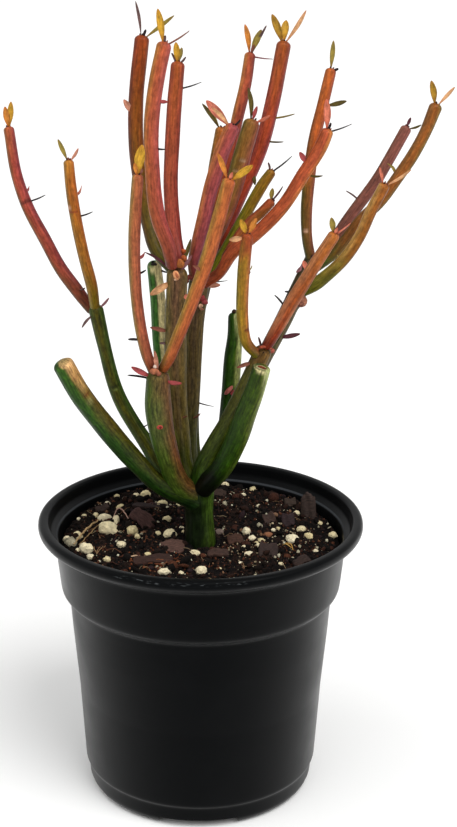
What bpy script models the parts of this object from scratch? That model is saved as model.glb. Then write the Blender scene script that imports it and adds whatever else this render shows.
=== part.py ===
"""A potted firestick pencil cactus: a round nursery pot, its potting mix, a green trunk with cut
stubs, and the coral shoots that stand on the branch ends.

Metres, +Z up. The origin is the middle of the pot's flat base. The plant's best side faces -Y.
A shoot is a round stem with small leaves: its foot sits on the rounded end of a green branch.
"""

import math
import random
from collections import namedtuple

import bpy
import bmesh
import numpy as np
from mathutils import Matrix, Vector

# Clear space between two pieces that touch on the real plant.
GAP = 0.0003

# Edges sharper than this stay crisp: on the pot, on the uneven mix, and on stems and leaves.
POT_CREASE = math.radians(35)
MIX_CREASE = math.radians(50)
STEM_CREASE = math.radians(55)

# Pot, as (radius, height) from the middle of the base up the outside and back down the inside.
POT_SEGMENTS = 40
POT_PROFILE = (
    (0.0000, 0.0000), (0.0350, 0.0000), (0.0372, 0.0007), (0.0384, 0.0024), (0.0389, 0.0078),
    (0.0397, 0.0088), (0.0413, 0.0360), (0.0431, 0.0560), (0.0438, 0.0655), (0.0442, 0.0698),
    (0.0449, 0.0706), (0.0460, 0.0713), (0.0467, 0.0724), (0.0470, 0.0745), (0.0485, 0.0892),
    (0.0490, 0.0901), (0.0508, 0.0908), (0.0528, 0.0919), (0.0537, 0.0929), (0.0540, 0.0940),
    (0.0538, 0.0953), (0.0528, 0.0961), (0.0509, 0.0960), (0.0504, 0.0953), (0.0500, 0.0920),
    (0.0494, 0.0914), (0.0480, 0.0909), (0.0474, 0.0898), (0.0470, 0.0845), (0.0457, 0.0745),
    (0.0434, 0.0708), (0.0428, 0.0690), (0.0400, 0.0360), (0.0382, 0.0090), (0.0350, 0.0038),
    (0.0000, 0.0038),
)
BLACK_PLASTIC = (0.012, 0.013, 0.014)
PLASTIC_ROUGHNESS = 0.45
DRAIN_COUNT = 4
DRAIN_TURN = math.radians(-90)
DRAIN_INNER_R = 0.0220
DRAIN_WIDTH = 0.0260
DRAIN_HEIGHT = 0.0022
DRAIN_HOLE_R = 0.0042
DRAIN_HOLE_AT = 0.0290
DRAIN_HOLE_DEPTH = 0.0080
DRAIN_HOLE_SIDES = 12

# Potting mix: the side follows the inside of the pot, and the top leans up towards the back and
# is domed round the trunk.
MIX_SIDE = (
    (0.0330, 0.0042), (0.0370, 0.0078), (0.0378, 0.0100), (0.0396, 0.0360), (0.0423, 0.0688),
    (0.0429, 0.0711), (0.0452, 0.0748), (0.0460, 0.0800),
)
PEAT = (0.035, 0.022, 0.016)
PEAT_ROUGHNESS = 0.95
MIX_SEED = 7
MIX_EDGE_R = 0.0465
MIX_LEVEL = 0.0874
MIX_SLOPE = 0.055
MIX_DOME = 0.0024
MIX_ROUGHNESS = 0.0003
MIX_WAVE = 0.0005
MIX_WAVE_X = 210.0
MIX_WAVE_Y = 180.0
MIX_RINGS = (0.0130, 0.0210, 0.0290, 0.0370, 0.0430)

# White perlite grains on the mix: (x, y, length, height).
PERLITE = (
    (-0.0332, 0.0136, 0.0046, 0.0027), (-0.0310, 0.0024, 0.0069, 0.0038),
    (-0.0288, 0.0072, 0.0020, 0.0037), (-0.0228, 0.0003, 0.0033, 0.0044),
    (-0.0209, -0.0041, 0.0020, 0.0017), (-0.0262, -0.0074, 0.0030, 0.0020),
    (-0.0412, -0.0001, 0.0030, 0.0034), (-0.0442, -0.0028, 0.0028, 0.0027),
    (-0.0375, -0.0108, 0.0046, 0.0037), (-0.0354, -0.0164, 0.0026, 0.0020),
    (-0.0300, -0.0191, 0.0023, 0.0020), (-0.0233, 0.0325, 0.0023, 0.0024),
    (-0.0201, 0.0310, 0.0033, 0.0027), (-0.0286, 0.0240, 0.0026, 0.0014),
    (-0.0364, 0.0145, 0.0016, 0.0020), (-0.0137, 0.0213, 0.0033, 0.0027),
    (-0.0115, 0.0096, 0.0026, 0.0024), (-0.0102, -0.0029, 0.0041, 0.0032),
    (-0.0142, -0.0007, 0.0020, 0.0014), (-0.0169, -0.0156, 0.0020, 0.0011),
    (-0.0017, -0.0152, 0.0036, 0.0020), (-0.0109, -0.0269, 0.0039, 0.0022),
    (0.0008, -0.0284, 0.0033, 0.0027), (0.0178, 0.0405, 0.0020, 0.0027),
    (0.0079, 0.0420, 0.0026, 0.0017), (0.0153, -0.0011, 0.0026, 0.0031),
    (0.0170, -0.0049, 0.0023, 0.0020), (0.0203, -0.0045, 0.0023, 0.0020),
    (0.0192, -0.0095, 0.0020, 0.0014), (0.0224, -0.0006, 0.0030, 0.0020),
    (0.0149, -0.0114, 0.0026, 0.0014), (0.0159, -0.0165, 0.0026, 0.0014),
    (0.0306, -0.0037, 0.0043, 0.0037), (0.0339, 0.0037, 0.0030, 0.0024),
    (0.0362, -0.0003, 0.0030, 0.0020), (0.0328, 0.0182, 0.0020, 0.0017),
    (0.0404, 0.0116, 0.0020, 0.0014), (0.0444, 0.0030, 0.0028, 0.0027),
    (0.0134, -0.0212, 0.0020, 0.0011),
)
SMALL_GRAINS = 6
SMALL_GRAIN_LENGTH = 0.0020
GRAIN_RISE = 0.15
GRAIN_TURN = 0.35
GRAIN_LEAN = 0.3
GRAIN_FLATNESS = 0.85
GRAIN_UNEVEN = (0.85, 1.1)
MIX_GRAIN_REACH = 0.0430

# Bark chips on the mix: (x, y, length, width, thickness, spin, turn and lean in degrees), where
# spin turns the chip in its own plane before it leans towards -Y and turns about the vertical.
BARK = (
    (-0.0197, 0.0075, 0.0096, 0.0050, 0.0018, -42, 0, 48),
    (-0.0092, -0.0122, 0.0084, 0.0056, 0.0020, 4, 4, 26),
    (-0.0150, -0.0205, 0.0130, 0.0046, 0.0014, 4, -2, 10),
    (0.0295, 0.0091, 0.0046, 0.0044, 0.0018, 4, 0, 52),
    (0.0308, 0.0262, 0.0042, 0.0032, 0.0020, 3, 8, 34),
    (0.0368, 0.0180, 0.0052, 0.0096, 0.0018, 12, -28, 72),
    (-0.0168, 0.0195, 0.0150, 0.0022, 0.0012, 0, -10, 12),
    (0.0059, -0.0152, 0.0072, 0.0034, 0.0014, 3, 0, 14),
    (0.0223, -0.0145, 0.0066, 0.0056, 0.0018, -12, 10, 40),
    (0.0231, 0.0097, 0.0042, 0.0040, 0.0020, 20, 0, 44),
    (0.0115, -0.0062, 0.0054, 0.0036, 0.0016, 10, 4, 36),
)
CHIP_RISE = 0.25
CHIP_UNEVEN = (0.88, 1.08)
# Outline of a chip, as shares of its length and width.
CHIP_OUTLINE = ((-0.5, -0.3), (-0.2, -0.5), (0.4, -0.42), (0.5, 0.1), (0.3, 0.5), (-0.4, 0.4))

# Trunk: it stands straight in a plain round hole in the mix.
TRUNK_R = 0.0054
TRUNK_SIDES = 12
TRUNK_X = 0.0
TRUNK_Y = -0.0060
TRUNK_ROWS = (
    (0.0, -0.0060, 0.0774, 0.0054), (0.0, -0.0060, 0.0904, 0.0054),
    (-0.0004, -0.0060, 0.0984, 0.0050), (-0.0005, -0.0060, 0.1064, 0.0053),
)
HOLE_FLOOR = 0.0640
HOLE_PLAY = 0.0005
HOLE_CUT_ABOVE = 0.02

# Green branches and cut stubs, as rows of (x, y, z, radius) from the trunk outwards, and how far
# the rounded end stands out, as a share of the end radius.
Branch = namedtuple("Branch", "rows end")
BRANCH_SIDES = 8
ROUND_END = 1.0
CUT_END = 0.45
BURIED_END = 0.6
TRUNK_END = 0.7
BRANCHES = {
    "left": Branch((
        (-0.0005, -0.0060, 0.1060, 0.0032), (-0.0130, -0.0030, 0.1145, 0.0029),
        (-0.0175, -0.0010, 0.1210, 0.0026), (-0.0270, 0.0020, 0.1370, 0.0023),
        (-0.0315, 0.0030, 0.1540, 0.0022), (-0.0337, 0.0030, 0.1650, 0.0024)), ROUND_END),
    "front": Branch((
        (-0.0010, -0.0070, 0.1050, 0.0032), (-0.0064, -0.0105, 0.1109, 0.0034),
        (-0.0086, -0.0125, 0.1160, 0.0035), (-0.0104, -0.0150, 0.1230, 0.0037),
        (-0.0122, -0.0174, 0.1320, 0.0040), (-0.0131, -0.0188, 0.1410, 0.0042),
        (-0.0131, -0.0190, 0.1490, 0.0037)), ROUND_END),
    "middle": Branch((
        (-0.0016, -0.0045, 0.1055, 0.0030), (-0.0052, -0.0040, 0.1150, 0.0028),
        (-0.0064, -0.0040, 0.1242, 0.0030), (-0.0077, -0.0040, 0.1385, 0.0033),
        (-0.0081, -0.0040, 0.1560, 0.0035), (-0.0075, -0.0040, 0.1785, 0.0033)), ROUND_END),
    "back": Branch((
        (-0.0005, -0.0030, 0.1050, 0.0028), (-0.0038, 0.0012, 0.1145, 0.0027),
        (-0.0043, 0.0042, 0.1225, 0.0029), (-0.0037, 0.0060, 0.1330, 0.0031),
        (-0.0031, 0.0070, 0.1470, 0.0032), (-0.0024, 0.0073, 0.1600, 0.0032),
        (-0.0008, 0.0080, 0.1735, 0.0034)), ROUND_END),
    "rear": Branch((
        (0.0000, -0.0030, 0.1050, 0.0028), (-0.0028, 0.0064, 0.1160, 0.0026),
        (-0.0036, 0.0130, 0.1290, 0.0026), (-0.0033, 0.0158, 0.1430, 0.0026),
        (-0.0022, 0.0170, 0.1580, 0.0026), (0.0005, 0.0176, 0.1710, 0.0027)), ROUND_END),
    "right": Branch((
        (-0.0008, -0.0062, 0.1065, 0.0030), (0.0014, -0.0085, 0.1172, 0.0031),
        (0.0050, -0.0098, 0.1245, 0.0032), (0.0084, -0.0105, 0.1308, 0.0031),
        (0.0136, -0.0116, 0.1418, 0.0031), (0.0175, -0.0125, 0.1530, 0.0031)), ROUND_END),
    "far_right": Branch((
        (0.0000, -0.0040, 0.1060, 0.0030), (0.0085, -0.0020, 0.1200, 0.0028),
        (0.0172, 0.0012, 0.1345, 0.0026), (0.0256, 0.0040, 0.1540, 0.0025),
        (0.0320, 0.0060, 0.1700, 0.0024), (0.0357, 0.0070, 0.1785, 0.0024)), ROUND_END),
    "far_right_spur": Branch((
        (0.0315, 0.0060, 0.1680, 0.0022), (0.0353, 0.0045, 0.1702, 0.0021)), ROUND_END),
    "stub_front_left": Branch((
        (-0.0020, -0.0080, 0.1045, 0.0031), (-0.0120, -0.0116, 0.1103, 0.0029),
        (-0.0205, -0.0155, 0.1206, 0.0032), (-0.0301, -0.0200, 0.1345, 0.0034),
        (-0.0375, -0.0245, 0.1471, 0.0033), (-0.0415, -0.0260, 0.1555, 0.0032)), 0.6),
    "stub_back_left": Branch((
        (-0.0015, -0.0010, 0.1050, 0.0028), (-0.0095, 0.0080, 0.1195, 0.0027),
        (-0.0135, 0.0120, 0.1500, 0.0025), (-0.0145, 0.0130, 0.1680, 0.0025),
        (-0.0155, 0.0140, 0.1770, 0.0024)), CUT_END),
    "stub_back_right": Branch((
        (0.0010, 0.0000, 0.1050, 0.0028), (0.0065, 0.0100, 0.1120, 0.0027),
        (0.0100, 0.0150, 0.1315, 0.0027), (0.0110, 0.0170, 0.1465, 0.0027),
        (0.0105, 0.0180, 0.1595, 0.0026)), CUT_END),
    "stub_front_right": Branch((
        (0.0005, -0.0085, 0.1055, 0.0030), (0.0026, -0.0115, 0.1104, 0.0032),
        (0.0068, -0.0150, 0.1180, 0.0034), (0.0112, -0.0190, 0.1280, 0.0034),
        (0.0152, -0.0226, 0.1402, 0.0032), (0.0180, -0.0243, 0.1485, 0.0030),
        (0.0197, -0.0250, 0.1545, 0.0029)), 0.4),
}

# A leaf: the share of the stem's length where it grows, the reach of its point from the stem's
# axis in x, y and z, its width, and its turn in degrees, where 0 shows the broad face to -Y.
Leaf = namedtuple("Leaf", "at reach width turn")
LEAF_THICKNESS = 0.0008
LEAF_ARCH = 0.07
# Along a leaf: the share of its length, its width and its thickness as shares of the widest.
LEAF_STATIONS = ((0.0, 0.55, 1.0), (0.45, 0.8, 1.0), (0.72, 1.0, 1.0), (0.9, 0.66, 0.75))

BRANCH_LEAVES = {
    "left": (
        Leaf(0.99, (0.0046, -0.0016, 0.0026), 0.0013, 20),
        Leaf(0.97, (-0.0036, -0.0014, -0.0058), 0.0013, 60),
        Leaf(0.46, (0.0052, -0.0015, 0.0027), 0.0010, 70),
        Leaf(0.30, (0.0025, -0.0046, 0.0030), 0.0010, 70),
    ),
    "front": (
        Leaf(0.97, (-0.0068, -0.0022, 0.0042), 0.0022, 0),
        Leaf(0.95, (-0.0078, 0.0005, 0.0020), 0.0010, 60),
        Leaf(0.94, (0.0066, -0.0030, -0.0038), 0.0017, 10),
        Leaf(0.55, (-0.0008, -0.0068, 0.0012), 0.0018, 0),
    ),
    "middle": (
        Leaf(0.99, (0.0012, -0.0052, -0.0034), 0.0026, 0),
        Leaf(0.96, (-0.0070, -0.0038, -0.0062), 0.0021, 0),
        Leaf(0.97, (-0.0072, 0.0006, 0.0020), 0.0011, 50),
        Leaf(0.70, (-0.0066, -0.0028, 0.0016), 0.0011, 30),
        Leaf(0.88, (-0.0028, 0.0062, 0.0012), 0.0018, 0),
    ),
    "back": (
        Leaf(0.96, (0.0078, -0.0010, -0.0026), 0.0010, 70),
        Leaf(0.90, (0.0052, -0.0028, -0.0046), 0.0018, 0),
        Leaf(0.70, (0.0046, -0.0034, 0.0020), 0.0018, 0),
        Leaf(0.32, (0.0085, -0.0018, -0.0022), 0.0010, 70),
    ),
    "rear": (
        Leaf(0.90, (0.0018, 0.0064, 0.0018), 0.0018, 90),
        Leaf(0.55, (-0.0030, 0.0052, 0.0022), 0.0014, 60),
    ),
    "right": (
        Leaf(0.98, (-0.0066, -0.0026, -0.0036), 0.0013, 20),
        Leaf(0.96, (0.0030, 0.0060, 0.0008), 0.0016, 40),
    ),
    "far_right": (
        Leaf(0.985, (-0.0056, -0.0010, -0.0058), 0.0012, 30),
        Leaf(0.83, (-0.0062, -0.0006, 0.0036), 0.0010, 60),
        Leaf(0.70, (0.0092, -0.0022, 0.0022), 0.0019, 0),
        Leaf(0.60, (-0.0010, 0.0056, 0.0022), 0.0014, 40),
    ),
    "far_right_spur": (),
    "stub_front_left": (),
    "stub_back_left": (),
    "stub_back_right": (Leaf(0.55, (0.0016, -0.0052, -0.0030), 0.0016, 0),),
    "stub_front_right": (),
}

# Coral shoots: the branch whose end carries the foot, the stem's colour, rows of (x, y, z, radius)
# from just above the foot to the tip, and the leaves. A fork is a second stem on the first.
Shoot = namedtuple("Shoot", "grows_on colour rows leaves fork", defaults=((),))
SHOOT_SIDES = 8
STEM_ROUGHNESS = 0.45
GREEN_STEM = (0.055, 0.13, 0.035)
FOOT_R = 0.0015
TIP_END = 0.6
SHOOTS = {
    "shoot_far_left": Shoot("left", (0.46, 0.10, 0.06), (
        (-0.0400, 0.0060, 0.1710, 0.0019), (-0.0450, 0.0080, 0.1775, 0.0019),
        (-0.0500, 0.0090, 0.1870, 0.0019), (-0.0555, 0.0110, 0.1975, 0.0019),
        (-0.0585, 0.0130, 0.2065, 0.0018), (-0.0605, 0.0155, 0.2212, 0.0016)), (
        Leaf(1.0, (-0.0017, -0.0006, 0.0068), 0.0022, 0),
        Leaf(1.0, (0.0010, 0.0012, 0.0080), 0.0024, 20),
        Leaf(1.0, (0.0002, -0.0024, 0.0056), 0.0022, 0),
        Leaf(0.62, (0.0060, -0.0006, 0.0022), 0.0010, 60))),
    "shoot_left": Shoot("left", (0.56, 0.20, 0.05), (
        (-0.0345, -0.0022, 0.1735, 0.0017), (-0.0368, -0.0050, 0.1865, 0.0018),
        (-0.0385, -0.0060, 0.1965, 0.0018), (-0.0395, -0.0075, 0.2080, 0.0017),
        (-0.0398, -0.0080, 0.2146, 0.0016)), (
        Leaf(1.0, (-0.0035, 0.0002, 0.0072), 0.0020, 0),
        Leaf(1.0, (0.0032, -0.0006, 0.0046), 0.0016, 0),
        Leaf(0.62, (0.0058, -0.0008, 0.0014), 0.0010, 60))),
    "shoot_tall_left": Shoot("middle", (0.28, 0.09, 0.04), (
        (-0.0140, 0.0020, 0.1860, 0.0021), (-0.0160, 0.0060, 0.1920, 0.0023),
        (-0.0185, 0.0100, 0.2030, 0.0024), (-0.0205, 0.0140, 0.2185, 0.0024),
        (-0.0205, 0.0160, 0.2300, 0.0024), (-0.0186, 0.0180, 0.2485, 0.0023)), (
        Leaf(1.0, (-0.0025, 0.0004, 0.0122), 0.0011, 30),
        Leaf(1.0, (0.0112, -0.0010, 0.0078), 0.0018, 20),
        Leaf(1.0, (0.0014, -0.0012, 0.0040), 0.0011, 0),
        Leaf(0.66, (-0.0048, -0.0012, 0.0038), 0.0018, 0))),
    "shoot_tall_middle": Shoot("middle", (0.48, 0.11, 0.06), (
        (-0.0100, -0.0098, 0.1895, 0.0022), (-0.0125, -0.0108, 0.1975, 0.0023),
        (-0.0142, -0.0105, 0.2140, 0.0023), (-0.0140, -0.0090, 0.2265, 0.0023),
        (-0.0125, -0.0078, 0.2395, 0.0022), (-0.0107, -0.0066, 0.2490, 0.0021)), (
        Leaf(1.0, (-0.0022, -0.0008, 0.0118), 0.0023, 0),
        Leaf(1.0, (0.0082, 0.0004, 0.0042), 0.0010, 60),
        Leaf(0.72, (0.0044, -0.0018, 0.0004), 0.0013, 0),
        Leaf(0.50, (0.0040, -0.0014, -0.0004), 0.0010, 50))),
    "shoot_tall_right": Shoot("middle", (0.40, 0.10, 0.05), (
        (-0.0056, 0.0000, 0.1855, 0.0021), (-0.0078, 0.0030, 0.1945, 0.0023),
        (-0.0088, 0.0050, 0.2060, 0.0023), (-0.0085, 0.0070, 0.2200, 0.0022),
        (-0.0076, 0.0080, 0.2315, 0.0021), (-0.0068, 0.0090, 0.2415, 0.0019)), (
        Leaf(1.0, (-0.0010, -0.0006, 0.0072), 0.0025, 0),
        Leaf(1.0, (0.0016, 0.0008, 0.0052), 0.0018, 10),
        Leaf(1.0, (0.0030, -0.0006, 0.0022), 0.0010, 40),
        Leaf(0.86, (0.0080, 0.0006, 0.0028), 0.0010, 70))),
    "shoot_front_left": Shoot("front", (0.60, 0.20, 0.07), (
        (-0.0162, -0.0214, 0.1575, 0.0017), (-0.0178, -0.0222, 0.1650, 0.0018),
        (-0.0190, -0.0230, 0.1745, 0.0018), (-0.0196, -0.0250, 0.1900, 0.0018),
        (-0.0190, -0.0268, 0.2040, 0.0018), (-0.0182, -0.0280, 0.2138, 0.0017)), (
        Leaf(1.0, (0.0014, -0.0004, 0.0104), 0.0028, 0),
        Leaf(1.0, (-0.0013, -0.0012, 0.0046), 0.0014, 0),
        Leaf(1.0, (0.0026, 0.0010, 0.0032), 0.0012, 0),
        Leaf(0.48, (0.0044, -0.0006, 0.0020), 0.0010, 40),
        Leaf(0.12, (-0.0042, -0.0004, 0.0004), 0.0010, 30))),
    "shoot_front_right": Shoot("front", (0.58, 0.17, 0.07), (
        (-0.0095, -0.0224, 0.1570, 0.0018), (-0.0070, -0.0240, 0.1635, 0.0019),
        (-0.0030, -0.0262, 0.1742, 0.0020), (0.0025, -0.0290, 0.1905, 0.0021),
        (0.0050, -0.0310, 0.2000, 0.0021), (0.0085, -0.0330, 0.2136, 0.0019)), (
        Leaf(1.0, (-0.0034, -0.0006, 0.0086), 0.0020, 0),
        Leaf(1.0, (0.0080, -0.0008, 0.0044), 0.0026, 0),
        Leaf(1.0, (0.0012, -0.0018, 0.0034), 0.0012, 0),
        Leaf(0.40, (0.0008, -0.0044, 0.0012), 0.0012, 40))),
    "shoot_crown_slim": Shoot("rear", (0.40, 0.11, 0.05), (
        (-0.0014, 0.0146, 0.1785, 0.0017), (0.0002, 0.0138, 0.1900, 0.0019),
        (0.0024, 0.0140, 0.2000, 0.0019), (0.0040, 0.0140, 0.2105, 0.0019),
        (0.0060, 0.0140, 0.2213, 0.0019)), (
        Leaf(1.0, (-0.0054, -0.0006, 0.0078), 0.0018, 10),
        Leaf(0.75, (0.0010, 0.0046, 0.0020), 0.0014, 80))),
    "shoot_crown_front": Shoot("back", (0.33, 0.08, 0.08), (
        (-0.0026, 0.0040, 0.1805, 0.0018), (-0.0012, 0.0020, 0.1875, 0.0021),
        (0.0010, 0.0004, 0.1970, 0.0022),
        (0.0030, -0.0004, 0.2060, 0.0023), (0.0048, -0.0010, 0.2120, 0.0024),
        (0.0068, -0.0016, 0.2185, 0.0024), (0.0093, -0.0022, 0.2245, 0.0022)), (
        Leaf(1.0, (-0.0082, -0.0008, 0.0084), 0.0032, 0),
        Leaf(1.0, (0.0010, -0.0010, 0.0036), 0.0010, 40))),
    "shoot_back_slim": Shoot("rear", (0.45, 0.11, 0.06), (
        (0.0006, 0.0218, 0.1785, 0.0017), (0.0042, 0.0228, 0.1940, 0.0019),
        (0.0085, 0.0250, 0.2105, 0.0019), (0.0112, 0.0280, 0.2235, 0.0019),
        (0.0138, 0.0310, 0.2345, 0.0019), (0.0155, 0.0330, 0.2426, 0.0018)), (
        Leaf(1.0, (-0.0014, 0.0004, 0.0094), 0.0019, 10),
        Leaf(1.0, (0.0034, 0.0010, 0.0090), 0.0022, 0),
        Leaf(1.0, (0.0062, -0.0010, -0.0016), 0.0010, 70),
        Leaf(0.55, (-0.0012, 0.0056, 0.0020), 0.0014, 80))),
    "shoot_back_tall": Shoot("rear", (0.40, 0.09, 0.06), (
        (0.0056, 0.0168, 0.1785, 0.0018), (0.0086, 0.0188, 0.1905, 0.0020),
        (0.0130, 0.0203, 0.2010, 0.0021), (0.0185, 0.0225, 0.2140, 0.0023),
        (0.0222, 0.0240, 0.2285, 0.0024), (0.0262, 0.0260, 0.2458, 0.0023)), (
        Leaf(1.0, (-0.0036, -0.0004, 0.0104), 0.0026, 0),
        Leaf(0.985, (0.0010, 0.0038, 0.0088), 0.0025, 0),
        Leaf(1.0, (0.0072, -0.0006, 0.0112), 0.0017, 20),
        Leaf(0.56, (0.0072, -0.0018, -0.0004), 0.0013, 50),
        Leaf(0.40, (0.0028, -0.0034, -0.0034), 0.0015, 0))),
    "shoot_crown_brown": Shoot("back", (0.25, 0.11, 0.04), (
        (0.0011, 0.0085, 0.1820, 0.0020), (0.0062, 0.0070, 0.1930, 0.0024),
        (0.0098, 0.0070, 0.2035, 0.0027), (0.0125, 0.0080, 0.2140, 0.0028),
        (0.0149, 0.0090, 0.2238, 0.0026)), (
        Leaf(1.0, (0.0002, -0.0004, 0.0106), 0.0020, 20),
        Leaf(1.0, (0.0034, -0.0022, 0.0030), 0.0012, 0),
        Leaf(1.0, (0.0140, -0.0024, 0.0010), 0.0011, 40))),
    "shoot_green_yellow": Shoot("back", (0.38, 0.22, 0.05), (
        (0.0046, 0.0116, 0.1788, 0.0017), (0.0106, 0.0112, 0.1890, 0.0018),
        (0.0166, 0.0118, 0.2000, 0.0018), (0.0195, 0.0122, 0.2050, 0.0018),
        (0.0218, 0.0126, 0.2083, 0.0016)), (
        Leaf(1.0, (0.0074, -0.0006, 0.0054), 0.0010, 60),
        Leaf(1.0, (-0.0008, -0.0010, 0.0038), 0.0010, 40),
        Leaf(0.50, (0.0040, -0.0034, -0.0016), 0.0012, 20))),
    "shoot_forked": Shoot("back", (0.50, 0.10, 0.07), (
        (0.0050, 0.0042, 0.1770, 0.0018), (0.0105, 0.0000, 0.1860, 0.0021),
        (0.0160, -0.0012, 0.1907, 0.0021), (0.0255, -0.0030, 0.2010, 0.0021),
        (0.0315, -0.0048, 0.2112, 0.0021), (0.0370, -0.0066, 0.2210, 0.0020),
        (0.0383, -0.0070, 0.2238, 0.0019)), (
        Leaf(1.0, (-0.0012, -0.0008, 0.0102), 0.0026, 0),
        Leaf(1.0, (0.0078, 0.0002, 0.0014), 0.0010, 70),
        Leaf(0.81, (-0.0040, -0.0010, 0.0034), 0.0014, 0),
        Leaf(0.70, (0.0066, -0.0010, 0.0004), 0.0013, 40)), (
        (0.0080, 0.0016, 0.1835, 0.0016), (0.0115, 0.0044, 0.1890, 0.0016),
        (0.0155, 0.0058, 0.1938, 0.0017), (0.0190, 0.0062, 0.1970, 0.0016),
        (0.0218, 0.0064, 0.2000, 0.0015))),
    "shoot_inner_left": Shoot("right", (0.55, 0.19, 0.06), (
        (0.0138, -0.0178, 0.1610, 0.0017), (0.0128, -0.0190, 0.1690, 0.0018),
        (0.0130, -0.0200, 0.1785, 0.0019), (0.0137, -0.0210, 0.1880, 0.0019),
        (0.0145, -0.0220, 0.1946, 0.0018)), (
        Leaf(1.0, (-0.0020, -0.0004, 0.0056), 0.0020, 0),
        Leaf(1.0, (0.0032, -0.0002, 0.0062), 0.0019, 0),
        Leaf(1.0, (-0.0078, -0.0016, -0.0012), 0.0022, 0),
        Leaf(0.55, (0.0024, -0.0022, -0.0008), 0.0012, 0))),
    "shoot_inner_right": Shoot("right", (0.60, 0.17, 0.08), (
        (0.0236, -0.0168, 0.1622, 0.0018), (0.0260, -0.0182, 0.1680, 0.0019),
        (0.0300, -0.0205, 0.1750, 0.0020), (0.0336, -0.0225, 0.1818, 0.0020),
        (0.0366, -0.0242, 0.1880, 0.0019), (0.0397, -0.0258, 0.1956, 0.0018)), (
        Leaf(1.0, (-0.0008, -0.0004, 0.0060), 0.0019, 0),
        Leaf(1.0, (0.0086, -0.0008, 0.0066), 0.0010, 60),
        Leaf(1.0, (0.0044, -0.0018, 0.0034), 0.0012, 0),
        Leaf(0.40, (0.0036, -0.0012, -0.0030), 0.0014, 0))),
    "shoot_right_upright": Shoot("far_right", (0.24, 0.10, 0.04), (
        (0.0337, 0.0062, 0.1880, 0.0017), (0.0332, 0.0065, 0.1960, 0.0018),
        (0.0338, 0.0074, 0.2070, 0.0019), (0.0350, 0.0083, 0.2185, 0.0019),
        (0.0378, 0.0098, 0.2310, 0.0018), (0.0400, 0.0110, 0.2395, 0.0017)), (
        Leaf(1.0, (0.0009, 0.0002, 0.0112), 0.0018, 10),
        Leaf(1.0, (0.0030, -0.0008, 0.0030), 0.0010, 0),
        Leaf(0.80, (0.0082, -0.0006, 0.0020), 0.0018, 20),
        Leaf(0.30, (-0.0016, 0.0046, 0.0016), 0.0013, 80))),
    "shoot_right_purple": Shoot("far_right", (0.20, 0.07, 0.05), (
        (0.0420, 0.0135, 0.1850, 0.0018), (0.0452, 0.0158, 0.1900, 0.0018),
        (0.0495, 0.0180, 0.1957, 0.0019), (0.0565, 0.0208, 0.2050, 0.0019),
        (0.0606, 0.0222, 0.2120, 0.0018), (0.0652, 0.0240, 0.2200, 0.0017)), (
        Leaf(1.0, (0.0016, -0.0006, 0.0042), 0.0013, 0),
        Leaf(1.0, (0.0056, -0.0006, 0.0010), 0.0011, 30),
        Leaf(0.46, (-0.0046, -0.0010, 0.0044), 0.0010, 60))),
    "shoot_far_right": Shoot("far_right_spur", (0.45, 0.17, 0.05), (
        (0.0408, 0.0066, 0.1755, 0.0018), (0.0450, 0.0070, 0.1808, 0.0018),
        (0.0500, 0.0076, 0.1876, 0.0019), (0.0588, 0.0084, 0.2010, 0.0019),
        (0.0650, 0.0092, 0.2142, 0.0019), (0.0708, 0.0100, 0.2262, 0.0018),
        (0.0731, 0.0100, 0.2301, 0.0017)), (
        Leaf(1.0, (-0.0018, -0.0006, 0.0082), 0.0026, 0),
        Leaf(1.0, (0.0060, -0.0004, 0.0062), 0.0018, 0),
        Leaf(0.60, (0.0010, 0.0050, 0.0014), 0.0014, 80))),
    "shoot_right_short": Shoot("far_right_spur", (0.55, 0.17, 0.06), (
        (0.0394, -0.0020, 0.1780, 0.0015), (0.0425, -0.0034, 0.1830, 0.0016),
        (0.0457, -0.0046, 0.1880, 0.0018), (0.0492, -0.0060, 0.1938, 0.0018),
        (0.0525, -0.0079, 0.2010, 0.0018), (0.0560, -0.0098, 0.2080, 0.0017)), (
        Leaf(1.0, (-0.0016, -0.0006, 0.0060), 0.0014, 0),
        Leaf(1.0, (0.0090, -0.0010, 0.0048), 0.0013, 20),
        Leaf(0.45, (0.0020, -0.0036, -0.0012), 0.0012, 0))),
}

FORK_LEAVES = (
    Leaf(1.0, (0.0006, -0.0002, 0.0044), 0.0014, 0),
    Leaf(1.0, (0.0042, 0.0010, 0.0052), 0.0010, 50),
)

# Every other shoot has one more leaf on its far side, placed at random within these limits. The
# shoots named here have another stem close behind them.
CROWDED_BEHIND = ("shoot_crown_front", "shoot_crown_brown", "shoot_green_yellow")
LEAF_SEED = 11
BACK_LEAF_AT = (0.35, 0.8)
BACK_LEAF_ANGLE = (math.radians(30), math.radians(150))
BACK_LEAF_LENGTH = (0.0046, 0.0064)
BACK_LEAF_RISE = (0.1, 0.6)
BACK_LEAF_WIDTH = (0.0012, 0.0018)
BACK_LEAF_TURN = (0, 80)

# Distance between the rings of a stem.
RING_EVERY = 0.0095


def clear_scene():
    """Empties the file."""
    for obj in list(bpy.data.objects):
        bpy.data.objects.remove(obj, do_unlink=True)


def make_material(name, colour, roughness):
    """A plain opaque finish."""
    material = bpy.data.materials.new(name)
    material.use_nodes = True
    shader = material.node_tree.nodes["Principled BSDF"]
    shader.inputs["Base Color"].default_value = (*colour, 1.0)
    shader.inputs["Roughness"].default_value = roughness
    shader.inputs["Metallic"].default_value = 0.0
    material.diffuse_color = (*colour, 1.0)
    return material


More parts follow.
